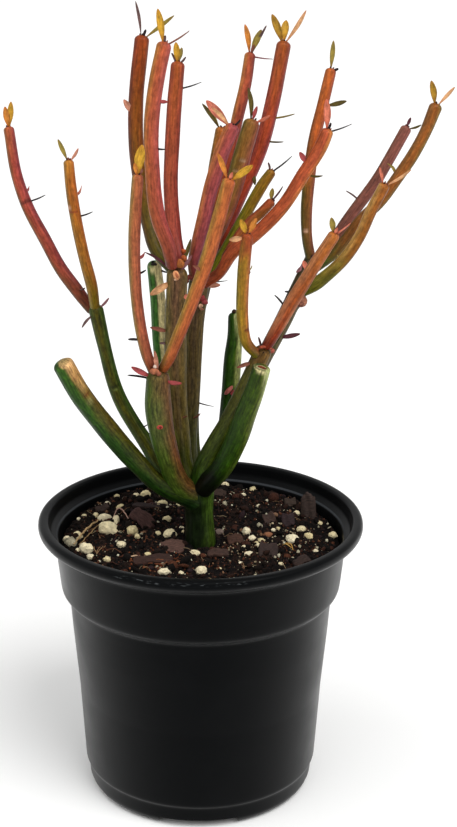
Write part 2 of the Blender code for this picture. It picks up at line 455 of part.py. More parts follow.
def make_object(name, mesh_bm, material=None, smooth_angle=None):
    """An object from a bmesh, with faces pointing outwards."""
    bmesh.ops.recalc_face_normals(mesh_bm, faces=mesh_bm.faces[:])
    mesh = bpy.data.meshes.new(name)
    mesh_bm.to_mesh(mesh)
    mesh_bm.free()
    obj = bpy.data.objects.new(name, mesh)
    bpy.context.scene.collection.objects.link(obj)
    if material is not None:
        mesh.materials.append(material)
    if smooth_angle is not None:
        mesh.shade_smooth()
        mesh.set_sharp_from_angle(angle=smooth_angle)
    return obj


def combine(obj, others, operation, solver="EXACT"):
    """Joins or cuts obj with the other objects in one Boolean, applies it, and removes them."""
    if not others:
        return
    group = bpy.data.collections.new(obj.name + "_operands")
    for other in others:
        for holder in list(other.users_collection):
            holder.objects.unlink(other)
        group.objects.link(other)
    bpy.context.scene.collection.children.link(group)
    modifier = obj.modifiers.new(operation.lower(), "BOOLEAN")
    modifier.operation = operation
    modifier.operand_type = "COLLECTION"
    modifier.collection = group
    modifier.solver = solver
    bpy.context.view_layer.objects.active = obj
    bpy.context.view_layer.update()
    bpy.ops.object.modifier_apply(modifier=modifier.name)
    for other in others:
        bpy.data.objects.remove(other, do_unlink=True)
    bpy.data.collections.remove(group)


def smooth_path(rows, spacing):
    """Rows of (x, y, z, radius) along a smooth curve through the given rows, evenly spaced."""
    points = np.array(rows, dtype=float)
    runs = np.linalg.norm(np.diff(points[:, :3], axis=0), axis=1)
    stations = np.concatenate([[0.0], np.cumsum(runs)])
    slopes = np.diff(points, axis=0) / runs[:, None]
    tangents = np.empty_like(points)
    tangents[0] = slopes[0]
    tangents[-1] = slopes[-1]
    before = runs[:-1, None]
    after = runs[1:, None]
    tangents[1:-1] = (slopes[:-1] * after + slopes[1:] * before) / (before + after)
    count = max(2, round(stations[-1] / spacing) + 1)
    places = np.linspace(0.0, stations[-1], count)
    leg = np.clip(np.searchsorted(stations, places, side="right") - 1, 0, len(runs) - 1)
    length = runs[leg][:, None]
    u = ((places - stations[leg]) / runs[leg])[:, None]
    from_start = points[leg] * (2 * u**3 - 3 * u**2 + 1) + tangents[leg] * length * (u**3 - 2 * u**2 + u)
    to_end = points[leg + 1] * (3 * u**2 - 2 * u**3) + tangents[leg + 1] * length * (u**3 - u**2)
    return from_start + to_end


def point_at(path, share):
    """The axis point and the direction of a path at a share of its length."""
    place = share * (len(path) - 1)
    index = min(int(place), len(path) - 2)
    here = path[index] + (path[index + 1] - path[index]) * (place - index)
    direction = path[index + 1][:3] - path[index][:3]
    return Vector(here[:3]), Vector(direction).normalized(), float(here[3])


def tube(path, sides, start_end, far_end):
    """A closed round tube along a path, with a domed end at each end."""
    centres = [Vector(row[:3]) for row in path]
    radii = [float(row[3]) for row in path]
    ahead = [(b - a).normalized() for a, b in zip(centres, centres[1:])]
    axes = [ahead[0]] + [(a + b).normalized() for a, b in zip(ahead, ahead[1:])] + [ahead[-1]]
    dome = (math.radians(28), math.radians(58))
    rings = []
    for angle in reversed(dome):
        back = radii[0] * start_end * math.sin(angle)
        rings.append((centres[0] - axes[0] * back, axes[0], radii[0] * math.cos(angle)))
    rings += list(zip(centres, axes, radii))
    for angle in dome:
        out = radii[-1] * far_end * math.sin(angle)
        rings.append((centres[-1] + axes[-1] * out, axes[-1], radii[-1] * math.cos(angle)))
    bm = bmesh.new()
    side = axes[0].orthogonal().normalized()
    last_axis = axes[0]
    loops = []
    for centre, axis, radius in rings:
        side = last_axis.rotation_difference(axis) @ side
        side = (side - axis * side.dot(axis)).normalized()
        other = axis.cross(side)
        last_axis = axis
        turns = [2 * math.pi * i / sides for i in range(sides)]
        loops.append([
            bm.verts.new(centre + (side * math.cos(t) + other * math.sin(t)) * radius) for t in turns
        ])
    for low, high in zip(loops, loops[1:]):
        for i in range(sides):
            j = (i + 1) % sides
            bm.faces.new((low[i], low[j], high[j], high[i]))
    start_pole = bm.verts.new(centres[0] - axes[0] * radii[0] * start_end)
    far_pole = bm.verts.new(centres[-1] + axes[-1] * radii[-1] * far_end)
    for i in range(sides):
        j = (i + 1) % sides
        bm.faces.new((loops[0][j], loops[0][i], start_pole))
        bm.faces.new((loops[-1][i], loops[-1][j], far_pole))
    return bm


def blade(root, leaf):
    """A small arched leaf of four-sided sections, from inside the stem to a point."""
    reach = Vector(leaf.reach)
    along = reach.normalized()
    across = along.cross(Vector((0.0, 1.0, 0.0)))
    if across.length < 0.2:
        across = along.cross(Vector((1.0, 0.0, 0.0)))
    across.normalize()
    flat = along.cross(across).normalized()
    turn = math.radians(leaf.turn)
    wide = across * math.cos(turn) + flat * math.sin(turn)
    thin = along.cross(wide).normalized()
    half_width = leaf.width / 2
    half_depth = LEAF_THICKNESS / 2
    bm = bmesh.new()
    loops = []
    for share, width, depth in LEAF_STATIONS:
        lift = LEAF_ARCH * reach.length * math.sin(math.pi * share)
        middle = root + reach * share + thin * lift
        corners = (wide * half_width * width, thin * half_depth * depth,
                   -wide * half_width * width, -thin * half_depth * depth)
        loops.append([bm.verts.new(middle + corner) for corner in corners])
    point = bm.verts.new(root + reach)
    bm.faces.new(reversed(loops[0]))
    for low, high in zip(loops, loops[1:]):
        for i in range(4):
            j = (i + 1) % 4
            bm.faces.new((low[i], low[j], high[j], high[i]))
    for i in range(4):
        bm.faces.new((loops[-1][i], loops[-1][(i + 1) % 4], point))
    return bm


def leaf_objects(path, leaves, name):
    """The leaves of one stem, each with its root on the stem's axis."""
    return [
        make_object(f"{name}_leaf_{i}", blade(point_at(path, leaf.at)[0], leaf))
        for i, leaf in enumerate(leaves)
    ]


def revolve(profile, segments):
    """A closed solid turned round Z. The profile starts and ends on the axis."""
    bm = bmesh.new()
    loops = []
    for radius, height in profile[1:-1]:
        loops.append([
            bm.verts.new((
                radius * math.cos(2 * math.pi * i / segments),
                radius * math.sin(2 * math.pi * i / segments),
                height,
            ))
            for i in range(segments)
        ])
    for low, high in zip(loops, loops[1:]):
        for i in range(segments):
            j = (i + 1) % segments
            bm.faces.new((low[i], low[j], high[j], high[i]))
    bottom = bm.verts.new((0.0, 0.0, profile[0][1]))
    top = bm.verts.new((0.0, 0.0, profile[-1][1]))
    for i in range(segments):
        j = (i + 1) % segments
        bm.faces.new((loops[0][j], loops[0][i], bottom))
        bm.faces.new((loops[-1][i], loops[-1][j], top))
    return bm


def box_bm(low, high):
    """A box between two corners."""
    bm = bmesh.new()
    bmesh.ops.create_cube(bm, size=1.0)
    size = Vector(high) - Vector(low)
    middle = (Vector(high) + Vector(low)) / 2
    for vert in bm.verts:
        vert.co = Vector(c * s for c, s in zip(vert.co, size)) + middle
    return bm


def turn_bm(bm, angle):
    """Turns a mesh round Z."""
    bmesh.ops.rotate(bm, verts=bm.verts[:], cent=(0, 0, 0), matrix=Matrix.Rotation(angle, 3, "Z"))
    return bm


def make_pot():
    """The thin-walled pot: rolled lip, band, stepped shoulder, tapered body and drained base."""
    material = make_material("black_polypropylene", BLACK_PLASTIC, PLASTIC_ROUGHNESS)
    pot = make_object("pot", revolve(POT_PROFILE, POT_SEGMENTS), material, POT_CREASE)
    cutters = []
    for i in range(DRAIN_COUNT):
        angle = DRAIN_TURN + 2 * math.pi * i / DRAIN_COUNT
        channel = box_bm(
            (DRAIN_INNER_R, -DRAIN_WIDTH / 2, -DRAIN_HEIGHT),
            (POT_PROFILE[4][0] + DRAIN_HEIGHT, DRAIN_WIDTH / 2, DRAIN_HEIGHT),
        )
        cutters.append(make_object(f"channel_{i}", turn_bm(channel, angle)))
        hole = bmesh.new()
        bmesh.ops.create_cone(
            hole, cap_ends=True, segments=DRAIN_HOLE_SIDES,
            radius1=DRAIN_HOLE_R, radius2=DRAIN_HOLE_R, depth=DRAIN_HOLE_DEPTH,
        )
        bmesh.ops.translate(hole, verts=hole.verts[:], vec=(DRAIN_HOLE_AT, 0.0, DRAIN_HEIGHT))
        cutters.append(make_object(f"drain_{i}", turn_bm(hole, angle)))
    combine(pot, cutters, "DIFFERENCE")
    return pot


def mix_height(x, y):
    """Height of the mix at a point: a slope up to the back and a low dome, with long waves."""
    waves = MIX_WAVE * math.sin(MIX_WAVE_X * x + 1.0) * math.cos(MIX_WAVE_Y * y - 0.6)
    dome = MIX_DOME * max(0.0, 1 - (x * x + y * y) / MIX_EDGE_R ** 2)
    return MIX_LEVEL + MIX_SLOPE * y + dome + waves


def mix_body(rng):
    """The plug of mix: turned sides up to an edge ring, then rings of uneven ground."""
    bm = bmesh.new()
    loops = []
    turns = [2 * math.pi * i / POT_SEGMENTS for i in range(POT_SEGMENTS)]
    for radius, height in MIX_SIDE:
        loops.append([bm.verts.new((radius * math.cos(t), radius * math.sin(t), height)) for t in turns])
    for radius in (MIX_EDGE_R, *reversed(MIX_RINGS)):
        ring = []
        for t in turns:
            x = radius * math.cos(t)
            y = radius * math.sin(t)
            uneven = rng.uniform(-MIX_ROUGHNESS, MIX_ROUGHNESS)
            ring.append(bm.verts.new((x, y, mix_height(x, y) + uneven)))
        loops.append(ring)
    for low, high in zip(loops, loops[1:]):
        for i in range(POT_SEGMENTS):
            j = (i + 1) % POT_SEGMENTS
            bm.faces.new((low[i], low[j], high[j], high[i]))
    bm.faces.new(reversed(loops[0]))
    middle = bm.verts.new((0.0, 0.0, mix_height(0.0, 0.0)))
    for i in range(POT_SEGMENTS):
        bm.faces.new((loops[-1][i], loops[-1][(i + 1) % POT_SEGMENTS], middle))
    bmesh.ops.triangulate(bm, faces=bm.faces[:])
    return bm


def loose_lump(x, y, size, rng):
    """A rough grain that sits half sunk in the mix."""
    turn = rng.uniform(-GRAIN_TURN, GRAIN_TURN)
    lean = rng.uniform(-GRAIN_LEAN, GRAIN_LEAN)
    return grain(x, y, mix_height(x, y) + GRAIN_RISE * size[2], size, turn, lean, rng)


def grain(x, y, z, size, turn, lean, rng):
    """A rough stone-like lump: an icosahedron stretched to a size, with uneven corners."""
    bm = bmesh.new()
    bmesh.ops.create_icosphere(bm, subdivisions=1, radius=0.5)
    place = Matrix.Translation((x, y, z)) @ Matrix.Rotation(turn, 4, "Z") @ Matrix.Rotation(lean, 4, "X")
    for vert in bm.verts:
        uneven = rng.uniform(*GRAIN_UNEVEN)
        vert.co = place @ Vector(c * s * uneven for c, s in zip(vert.co, size))
    return bm


def chip(x, y, z, size, spin, turn, lean, rng):
    """A bark chip: a slab with clipped, uneven corners."""
    bm = bmesh.new()
    place = Matrix.Translation((x, y, z)) @ Matrix.Rotation(turn, 4, "Z")
    place = place @ Matrix.Rotation(lean, 4, "X") @ Matrix.Rotation(spin, 4, "Z")
    loops = []
    for level in (-0.5, 0.5):
        ring = []
        for u, v in CHIP_OUTLINE:
            uneven = rng.uniform(*CHIP_UNEVEN)
            corner = Vector((u * size[0] * uneven, v * size[1] * uneven, level * size[2]))
            ring.append(bm.verts.new(place @ corner))
        loops.append(ring)
    count = len(CHIP_OUTLINE)
    for i in range(count):
        j = (i + 1) % count
        bm.faces.new((loops[0][i], loops[0][j], loops[1][j], loops[1][i]))
    bm.faces.new(reversed(loops[0]))
    bm.faces.new(loops[1])
    bmesh.ops.triangulate(bm, faces=bm.faces[:])
    return bm


def make_mix():
    """The potting mix: one plug with its perlite and bark on top, and a round hole for the trunk."""
    rng = random.Random(MIX_SEED)
    material = make_material("peat_potting_mix", PEAT, PEAT_ROUGHNESS)
    mix = make_object("potting_mix", mix_body(rng), material, MIX_CREASE)
    lumps = []
    for x, y, length, height in PERLITE:
        bm = loose_lump(x, y, (length, (length + height) / 2 * GRAIN_FLATNESS, height), rng)
        lumps.append(make_object(f"grain_{len(lumps)}", bm))
    taken = [row[:3] for row in (*PERLITE, *BARK)] + [(TRUNK_X, TRUNK_Y, 2 * TRUNK_R)]
    while len(lumps) < len(PERLITE) + SMALL_GRAINS:
        radius = MIX_GRAIN_REACH * math.sqrt(rng.random())
        angle = rng.uniform(-math.pi, math.pi)
        x = radius * math.cos(angle)
        y = radius * math.sin(angle)
        if any(math.hypot(x - a, y - b) < length / 2 + SMALL_GRAIN_LENGTH for a, b, length in taken):
            continue
        taken.append((x, y, SMALL_GRAIN_LENGTH))
        length = SMALL_GRAIN_LENGTH * rng.uniform(0.8, 1.2)
        bm = loose_lump(x, y, (length, length * GRAIN_FLATNESS, length * GRAIN_FLATNESS), rng)
        lumps.append(make_object(f"grain_{len(lumps)}", bm))
    for x, y, length, width, thickness, *angles in BARK:
        spin, turn, lean = (math.radians(angle) for angle in angles)
        z = mix_height(x, y) + CHIP_RISE * (thickness + width * math.sin(lean))
        bm = chip(x, y, z, (length, width, thickness), spin, turn, lean, rng)
        lumps.append(make_object(f"chip_{len(lumps)}", bm))
    combine(mix, lumps, "UNION")
    hole = bmesh.new()
    top = MIX_LEVEL + HOLE_CUT_ABOVE
    bmesh.ops.create_cone(
        hole, cap_ends=True, segments=TRUNK_SIDES,
        radius1=TRUNK_R + HOLE_PLAY, radius2=TRUNK_R + HOLE_PLAY, depth=top - HOLE_FLOOR,
    )
    bmesh.ops.translate(hole, verts=hole.verts[:], vec=(TRUNK_X, TRUNK_Y, (top + HOLE_FLOOR) / 2))
    combine(mix, [make_object("trunk_hole", hole)], "DIFFERENCE")
    return mix


def make_trunk():
    """The green body: a straight trunk, the branches and cut stubs that leave its top, and the
    small leaves that sit on them."""
    material = make_material("green_stem", GREEN_STEM, STEM_ROUGHNESS)
    foot = (TRUNK_X, TRUNK_Y, HOLE_FLOOR + GAP, TRUNK_R)
    stem = tube(np.array((foot, *TRUNK_ROWS)), TRUNK_SIDES, 0.0, TRUNK_END)
    trunk = make_object("trunk_and_branches", stem, material, STEM_CREASE)
    pieces = []
    for name, branch in BRANCHES.items():
        path = smooth_path(branch.rows, RING_EVERY)
        pieces.append(make_object(name, tube(path, BRANCH_SIDES, BURIED_END, branch.end)))
        pieces += leaf_objects(path, BRANCH_LEAVES[name], name)
    combine(trunk, pieces, "UNION")
    return trunk


def shoot_path(shoot):
    """The shoot's whole path: its foot stands clear of the branch end by GAP, towards the first
    given row."""
    end = BRANCHES[shoot.grows_on].rows[-1]
    knuckle = Vector(end[:3])
    out = (Vector(shoot.rows[0][:3]) - knuckle).normalized()
    foot = knuckle + out * (end[3] + GAP + FOOT_R)
    return smooth_path(((*foot, FOOT_R), *shoot.rows), RING_EVERY)


def back_leaf(rng):
    """One more small leaf, on the side that faces away, where a stem bears them too."""
    angle = rng.uniform(*BACK_LEAF_ANGLE)
    size = rng.uniform(*BACK_LEAF_LENGTH)
    reach = (size * math.cos(angle), size * math.sin(angle), size * rng.uniform(*BACK_LEAF_RISE))
    return Leaf(
        rng.uniform(*BACK_LEAF_AT), reach, rng.uniform(*BACK_LEAF_WIDTH), rng.uniform(*BACK_LEAF_TURN)
    )


def make_shoot(name, rng):
    """One shoot: its stem, its fork where it has one, and its leaves, as one body."""
    shoot = SHOOTS[name]
    material = make_material(name + "_skin", shoot.colour, STEM_ROUGHNESS)
    path = shoot_path(shoot)
    obj = make_object(name, tube(path, SHOOT_SIDES, 1.0, TIP_END), material, STEM_CREASE)
    leaves = shoot.leaves if name in CROWDED_BEHIND else (*shoot.leaves, back_leaf(rng))
    pieces = leaf_objects(path, leaves, name)
    if shoot.fork:
        fork = smooth_path(shoot.fork, RING_EVERY)
        pieces.append(make_object(name + "_fork", tube(fork, SHOOT_SIDES, 0.8, TIP_END)))
        pieces += leaf_objects(fork, FORK_LEAVES, name + "_fork")
    combine(obj, pieces, "UNION", "MANIFOLD")
    return obj


def main():
    clear_scene()
    make_pot()
    make_mix()
    make_trunk()
    rng = random.Random(LEAF_SEED)
    for name in SHOOTS:
        make_shoot(name, rng)


main()
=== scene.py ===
"""Looks of a potted fire-stick pencil cactus in a black nursery pot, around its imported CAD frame.

Lengths are metres, except in the tables and plans of the pot, the mix and the plant, which are in
millimetres in the part's own frame. +Z is up and the photograph looks along +Y.
"""

import logging
import math
from dataclasses import dataclass
from enum import Enum

import bmesh
import bpy
import numpy as np
from mathutils import Matrix
from numpy.typing import NDArray


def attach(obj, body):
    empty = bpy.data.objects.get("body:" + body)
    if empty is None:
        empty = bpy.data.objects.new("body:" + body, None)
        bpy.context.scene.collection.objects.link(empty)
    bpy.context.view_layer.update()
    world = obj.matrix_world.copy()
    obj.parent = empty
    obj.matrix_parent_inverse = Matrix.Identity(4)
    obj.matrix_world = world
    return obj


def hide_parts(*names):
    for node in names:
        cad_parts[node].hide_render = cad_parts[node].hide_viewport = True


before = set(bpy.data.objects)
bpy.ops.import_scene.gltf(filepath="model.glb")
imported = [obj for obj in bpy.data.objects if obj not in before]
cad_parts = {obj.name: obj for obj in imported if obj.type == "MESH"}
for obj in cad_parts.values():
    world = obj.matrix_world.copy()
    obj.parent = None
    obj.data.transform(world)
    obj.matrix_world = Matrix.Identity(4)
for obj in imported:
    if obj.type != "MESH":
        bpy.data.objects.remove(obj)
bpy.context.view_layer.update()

LOG = logging.getLogger("potted_firestick")
Array = NDArray[np.float64]
Index = NDArray[np.int64]
Random = np.random.Generator
Socket = bpy.types.NodeSocket
Tree = bpy.types.NodeTree
Material = bpy.types.Material
Point = tuple[float, float, float]
Row = tuple[float, float, float, float]
Stop = tuple[float, str]
MM = 0.001
UP = np.array([0.0, 0.0, 1.0])
BACKWARDS = np.array([0.0, 1.0, 0.0])
RIGHTWARDS = np.array([1.0, 0.0, 0.0])
NO_QUADS = np.empty((0, 4), int)


# Small numeric helpers


def linear(code: str) -> Array:
    """Return the three linear values of an sRGB hex colour."""
    values = np.array([int(code[i:i + 2], 16) for i in (0, 2, 4)]) / 255.0
    return np.where(values <= 0.04045, values / 12.92, ((values + 0.055) / 1.055) ** 2.4)


def ramp(low: float, high: float, value: Array) -> Array:
    """Return a smooth step: 0 at low, 1 at high, and 3t^2 - 2t^3 between them."""
    share = np.clip((value - low) / (high - low), 0.0, 1.0)
    return share * share * (3.0 - 2.0 * share)


def unit(vectors: Array) -> Array:
    """Return vectors along the last axis scaled to a length of one."""
    return vectors / np.maximum(np.linalg.norm(vectors, axis=-1, keepdims=True), 1e-12)


def mixed(first: Array, second: Array, share: Array) -> Array:
    """Return first turned towards second by a share given for each point."""
    return first + (second - first) * share[..., None]


def around(count: int) -> Array:
    """Return evenly spaced angles of one turn."""
    return np.linspace(0.0, 2 * math.pi, count, endpoint=False)


def spin(angle: float, axis: int) -> Array:
    """Return the matrix that turns row vectors by an angle about X (0), Y (1) or Z (2)."""
    first, second = (axis + 1) % 3, (axis + 2) % 3
    matrix = np.eye(3)
    matrix[first, first] = matrix[second, second] = math.cos(angle)
    matrix[first, second], matrix[second, first] = math.sin(angle), -math.sin(angle)
    return matrix


def value_noise(x: Array, y: Array, cell: float, seed: int) -> Array:
    """Return smooth noise from -1 to 1 over a plane.

    Each lattice point has a random value, and a place between four of them takes the mean of
    their values weighted by smooth steps of its position in the cell.

    Args:
        x: First coordinate of each point.
        y: Second coordinate of each point.
        cell: Spacing of the lattice, in the unit of x and y.
        seed: Seed of the lattice values.
    """
    side = 128
    lattice = np.random.default_rng(seed).uniform(-1.0, 1.0, (side, side))
    u, v = x / cell + 0.37 * seed, y / cell - 0.61 * seed
    i, j = np.floor(u).astype(int), np.floor(v).astype(int)
    s, t = ramp(0.0, 1.0, u - i), ramp(0.0, 1.0, v - j)
    i0, j0, i1, j1 = i % side, j % side, (i + 1) % side, (j + 1) % side
    low = lattice[i0, j0] * (1 - s) + lattice[i1, j0] * s
    high = lattice[i0, j1] * (1 - s) + lattice[i1, j1] * s
    return low * (1 - t) + high * t


# Closed skins and meshes


def with_ends(values: Array) -> Array:
    """Return values of ring points as rows, followed by the first of the first and last ring."""
    return np.concatenate([values.reshape(-1, 3), values[[0, -1], 0]])


@dataclass
class Surface:
    """A closed skin: points, outward faces, and a colour and grain place at each point.

    colour is linear RGB. grain is a place in millimetres that the finish's patterns run along:
    two coordinates across the piece and one along it. finish is the number of the material slot.
    """

    points: Array
    quads: Index
    tris: Index
    colour: Array
    grain: Array
    finish: int = 0

    @classmethod
    def closed(
        cls, rings: Array, first: Array, last: Array, colour: Array | None = None,
        grain: Array | None = None, finish: int = 0,
    ) -> "Surface":
        """Close a stack of rings with a point at each end.

        Args:
            rings: Ring points, as ring x side x 3, turning anticlockwise about their way up.
            first: The point that closes the first ring.
            last: The point that closes the last ring.
            colour: Colour of each ring point; without it the skin is black.
            grain: Grain place of each ring point; without it, its place in millimetres.
            finish: Number of the material slot.
        """
        count, sides = rings.shape[:2]
        points = np.concatenate([rings.reshape(-1, 3), first[None], last[None]])
        side, ring = np.arange(sides), np.arange(count - 1)[:, None] * sides
        beside = (side + 1) % sides
        here, there = ring + side, ring + beside
        quads = np.stack([here, there, there + sides, here + sides], axis=-1).reshape(-1, 4)
        top = (count - 1) * sides
        low = np.stack([beside, side, np.full(sides, count * sides)], axis=-1)
        high = np.stack([top + side, top + beside, np.full(sides, count * sides + 1)], axis=-1)
        colours = np.zeros_like(points) if colour is None else with_ends(colour)
        places = points / MM if grain is None else with_ends(grain)
        return cls(points, quads, np.concatenate([low, high]), colours, places, finish)


def build_piece(
    name: str, skins: list[Surface], finishes: list[Material], crease: float = 0.0
) -> bpy.types.Object:
    """Make one object of several closed skins.

    Args:
        name: Name of the piece.
        skins: The skins, each with the number of its finish.
        finishes: Materials, in the order of those numbers.
        crease: Angle in degrees from which an edge is drawn sharp; 0 draws every face flat.
    """
    starts = np.cumsum([0] + [len(skin.points) for skin in skins[:-1]])
    points = np.concatenate([skin.points for skin in skins])
    quads = np.concatenate([skin.quads + start for skin, start in zip(skins, starts)])
    tris = np.concatenate([skin.tris + start for skin, start in zip(skins, starts)])
    corners = np.concatenate([quads.ravel(), tris.ravel()])
    first_corners = np.concatenate(
        [np.arange(len(quads)) * 4, len(quads) * 4 + np.arange(len(tris)) * 3]
    )
    slots = np.concatenate(
        [np.full(len(skin.quads), skin.finish) for skin in skins]
        + [np.full(len(skin.tris), skin.finish) for skin in skins]
    )
    mesh = bpy.data.meshes.new(name)
    mesh.vertices.add(len(points))
    mesh.vertices.foreach_set("co", points.astype(np.float32).ravel())
    mesh.loops.add(len(corners))
    mesh.loops.foreach_set("vertex_index", corners.astype(np.int32))
    mesh.polygons.add(len(first_corners))
    mesh.polygons.foreach_set("loop_start", first_corners.astype(np.int32))
    mesh.update(calc_edges=True)
    for finish in finishes:
        mesh.materials.append(finish)
    mesh.polygons.foreach_set("material_index", slots.astype(np.int32))
    colour = np.concatenate([skin.colour for skin in skins])
    opaque = np.concatenate([colour, np.ones((len(colour), 1))], axis=1)
    tint = mesh.attributes.new("tint", "FLOAT_COLOR", "POINT")
    tint.data.foreach_set("color", opaque.astype(np.float32).ravel())
    grain = np.concatenate([skin.grain for skin in skins])
    along = mesh.attributes.new("grain", "FLOAT_VECTOR", "POINT")
    along.data.foreach_set("vector", grain.astype(np.float32).ravel())
    if crease:
        mesh.shade_smooth()
        mesh.set_sharp_from_angle(angle=math.radians(crease))
    piece = bpy.data.objects.new(name, mesh)
    bpy.context.scene.collection.objects.link(piece)
    return piece


def place(piece: bpy.types.Object, slot: str, *nodes: str) -> None:
    """Let a piece ride on the model and hide the CAD nodes that it replaces."""
    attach(piece, "root")
    if nodes:
        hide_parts(*nodes)
    LOG.info("%s: %d faces", piece.name, len(piece.data.polygons))


# Finishes


def feed(tree: Tree, node: bpy.types.Node, feeds: dict[int | str, object]) -> None:
    """Set each named or numbered input of a node, or link it if it is given an output."""
    for name, value in feeds.items():
        if isinstance(value, Socket):
            tree.links.new(value, node.inputs[name])
        else:
            node.inputs[name].default_value = value


def add_node(
    tree: Tree, kind: str, feeds: dict[int | str, object], out: int | str = 0, **settings: object
) -> Socket:
    """Add a shader node, set its properties, and set or link its inputs.

    Args:
        tree: Node tree that gets the node.
        kind: Blender's name of the node type, without the words that all of them start with.
        feeds: Input name or number to a value, or to the output that is linked to it.
        out: Name or number of the wanted output.
        settings: Properties of the node.

    Returns:
        The wanted output.
    """
    node = tree.nodes.new("ShaderNode" + kind)
    for name, value in settings.items():
        setattr(node, name, value)
    feed(tree, node, feeds)
    return node.outputs[out]


def blank_material(name: str) -> tuple[Material, Tree, bpy.types.Node]:
    """Return a new material, its node tree and its Principled shader."""
    material = bpy.data.materials.new(name)
    material.use_nodes = True
    tree = material.node_tree
    return material, tree, tree.nodes["Principled BSDF"]


def paint(code: str) -> Row:
    """Return an sRGB hex colour as an opaque linear colour for a socket."""
    return (*[float(value) for value in linear(code)], 1.0)


@dataclass(frozen=True)
class MouldedPlastic:
    """Thin black polypropylene of a nursery pot: near black where it is seen square on, with a
    pale sheen at its grazing edges, a film of dust, fine mould grain, a few dry scuffs on the
    front of the lip and a painted highlight along the edge of the ledge inside it.

    Scales are noise cells per metre; the pot is 108 mm wide. The sheens are specular levels. The
    scuffs lie between two heights and two angles, and the painted highlight on the ledge's edge
    between two heights inside a radius.
    """

    name: str = "black_polypropylene"
    body: str = "08090A"
    dust: str = "101112"
    scuff: str = "3C3F40"
    # Colour of the painted highlight along the edge of the inner ledge.
    ledge: str = "3A3D40"
    roughness: float = 0.34
    sheen_front: float = 0.03
    sheen_edge: float = 0.27
    mottle_scale: float = 70.0
    grain_scale: float = 1400.0
    scuff_low: float = 0.0944
    scuff_high: float = 0.0957
    scuff_from: float = -0.52
    scuff_to: float = 0.30
    scuff_length: float = 24.0
    scuff_rows: float = 2400.0
    ledge_low: float = 0.0900
    ledge_high: float = 0.0909
    ledge_radius: float = 0.0487

    def window(self, tree: Tree, value: Socket, low: float, high: float, soft: float) -> Socket:
        """Return a mask that is 1 where a value lies between two limits.

        Args:
            tree: Node tree that gets the nodes.
            value: The value.
            low: Lower limit.
            high: Upper limit.
            soft: Width over which the mask fades at each limit.
        """
        smooth = {"interpolation_type": "SMOOTHSTEP"}
        rise = add_node(tree, "MapRange", {0: value, 1: low, 2: low + soft}, **smooth)
        fall = add_node(tree, "MapRange", {0: value, 1: high - soft, 2: high, 3: 1.0, 4: 0.0}, **smooth)
        return add_node(tree, "Math", {0: rise, 1: fall}, operation="MULTIPLY")

    def worn(self, tree: Tree, here: Socket) -> Socket:
        """Return where the lip is scuffed: dashes drawn out along the rim, on its front only.

        Args:
            tree: Node tree that gets the nodes.
            here: Object coordinates.
        """
        parts = add_node(tree, "SeparateXYZ", {0: here}).node.outputs
        front = add_node(tree, "Math", {0: parts["Y"], 1: -1.0}, operation="MULTIPLY")
        turned = add_node(tree, "Math", {0: parts["X"], 1: front}, operation="ARCTAN2")
        around_rim = add_node(tree, "Math", {0: turned, 1: self.scuff_length}, operation="MULTIPLY")
        up_rim = add_node(tree, "Math", {0: parts["Z"], 1: self.scuff_rows}, operation="MULTIPLY")
        along = add_node(tree, "CombineXYZ", {0: around_rim, 1: up_rim})
        dashes = add_node(tree, "TexNoise", {"Vector": along, "Scale": 1.0, "Detail": 5.0}, "Fac")
        marked = add_node(
            tree, "MapRange", {0: dashes, 1: 0.55, 2: 0.64}, interpolation_type="SMOOTHSTEP"
        )
        band = self.window(tree, parts["Z"], self.scuff_low, self.scuff_high, 0.0004)
        sector = self.window(tree, turned, self.scuff_from, self.scuff_to, 0.06)
        both = add_node(tree, "Math", {0: band, 1: sector}, operation="MULTIPLY")
        return add_node(tree, "Math", {0: both, 1: marked}, operation="MULTIPLY")

    def painted_ledge_highlight(self, tree: Tree, here: Socket) -> Socket:
        """Return the thin pale ring inside the lip where the ledge's edge gets a painted highlight.

        Args:
            tree: Node tree that gets the nodes.
            here: Object coordinates.
        """
        parts = add_node(tree, "SeparateXYZ", {0: here}).node.outputs
        flat = add_node(tree, "CombineXYZ", {0: parts["X"], 1: parts["Y"]})
        away = add_node(tree, "VectorMath", {0: flat}, "Value", operation="LENGTH")
        inside = add_node(tree, "Math", {0: away, 1: self.ledge_radius}, operation="LESS_THAN")
        band = self.window(tree, parts["Z"], self.ledge_low, self.ledge_high, 0.0003)
        return add_node(tree, "Math", {0: inside, 1: band}, operation="MULTIPLY")

    def material(self) -> Material:
        """Return the finish as a material that reads Object coordinates."""
        material, tree, shader = blank_material(self.name)
        here = add_node(tree, "TexCoord", {}, "Object")
        mottle, grain = (
            add_node(tree, "TexNoise", {"Vector": here, "Scale": scale, "Detail": detail}, "Fac")
            for scale, detail in ((self.mottle_scale, 6.0), (self.grain_scale, 2.0))
        )
        film = add_node(tree, "MapRange", {0: mottle, 1: 0.48, 2: 0.78, 3: 0.0, 4: 0.3})
        colour: object = paint(self.body)
        # Dust and scuffs are the plastic's own marks; the pale ring on the ledge's edge is a painted
        # highlight.
        for share, code in (
            (film, self.dust), (self.worn(tree, here), self.scuff), (self.painted_ledge_highlight(tree, here), self.ledge)
        ):
            colour = add_node(tree, "Mix", {0: share, 6: colour, 7: paint(code)}, 2, data_type="RGBA")
        slant = add_node(tree, "LayerWeight", {"Blend": 0.35}, "Facing")
        sheen = {0: slant, 1: 0.10, 2: 0.75, 3: self.sheen_front, 4: self.sheen_edge}
        dull = {0: mottle, 1: 0.3, 2: 0.7, 3: self.roughness - 0.05, 4: self.roughness + 0.08}
        feed(tree, shader, {
            "Base Color": colour,
            "Roughness": add_node(tree, "MapRange", dull),
            "Normal": add_node(tree, "Bump", {"Height": grain, "Strength": 0.3, "Distance": 0.00003}),
            "Specular IOR Level": add_node(tree, "MapRange", sheen),
            "IOR": 1.49,
        })
        return material


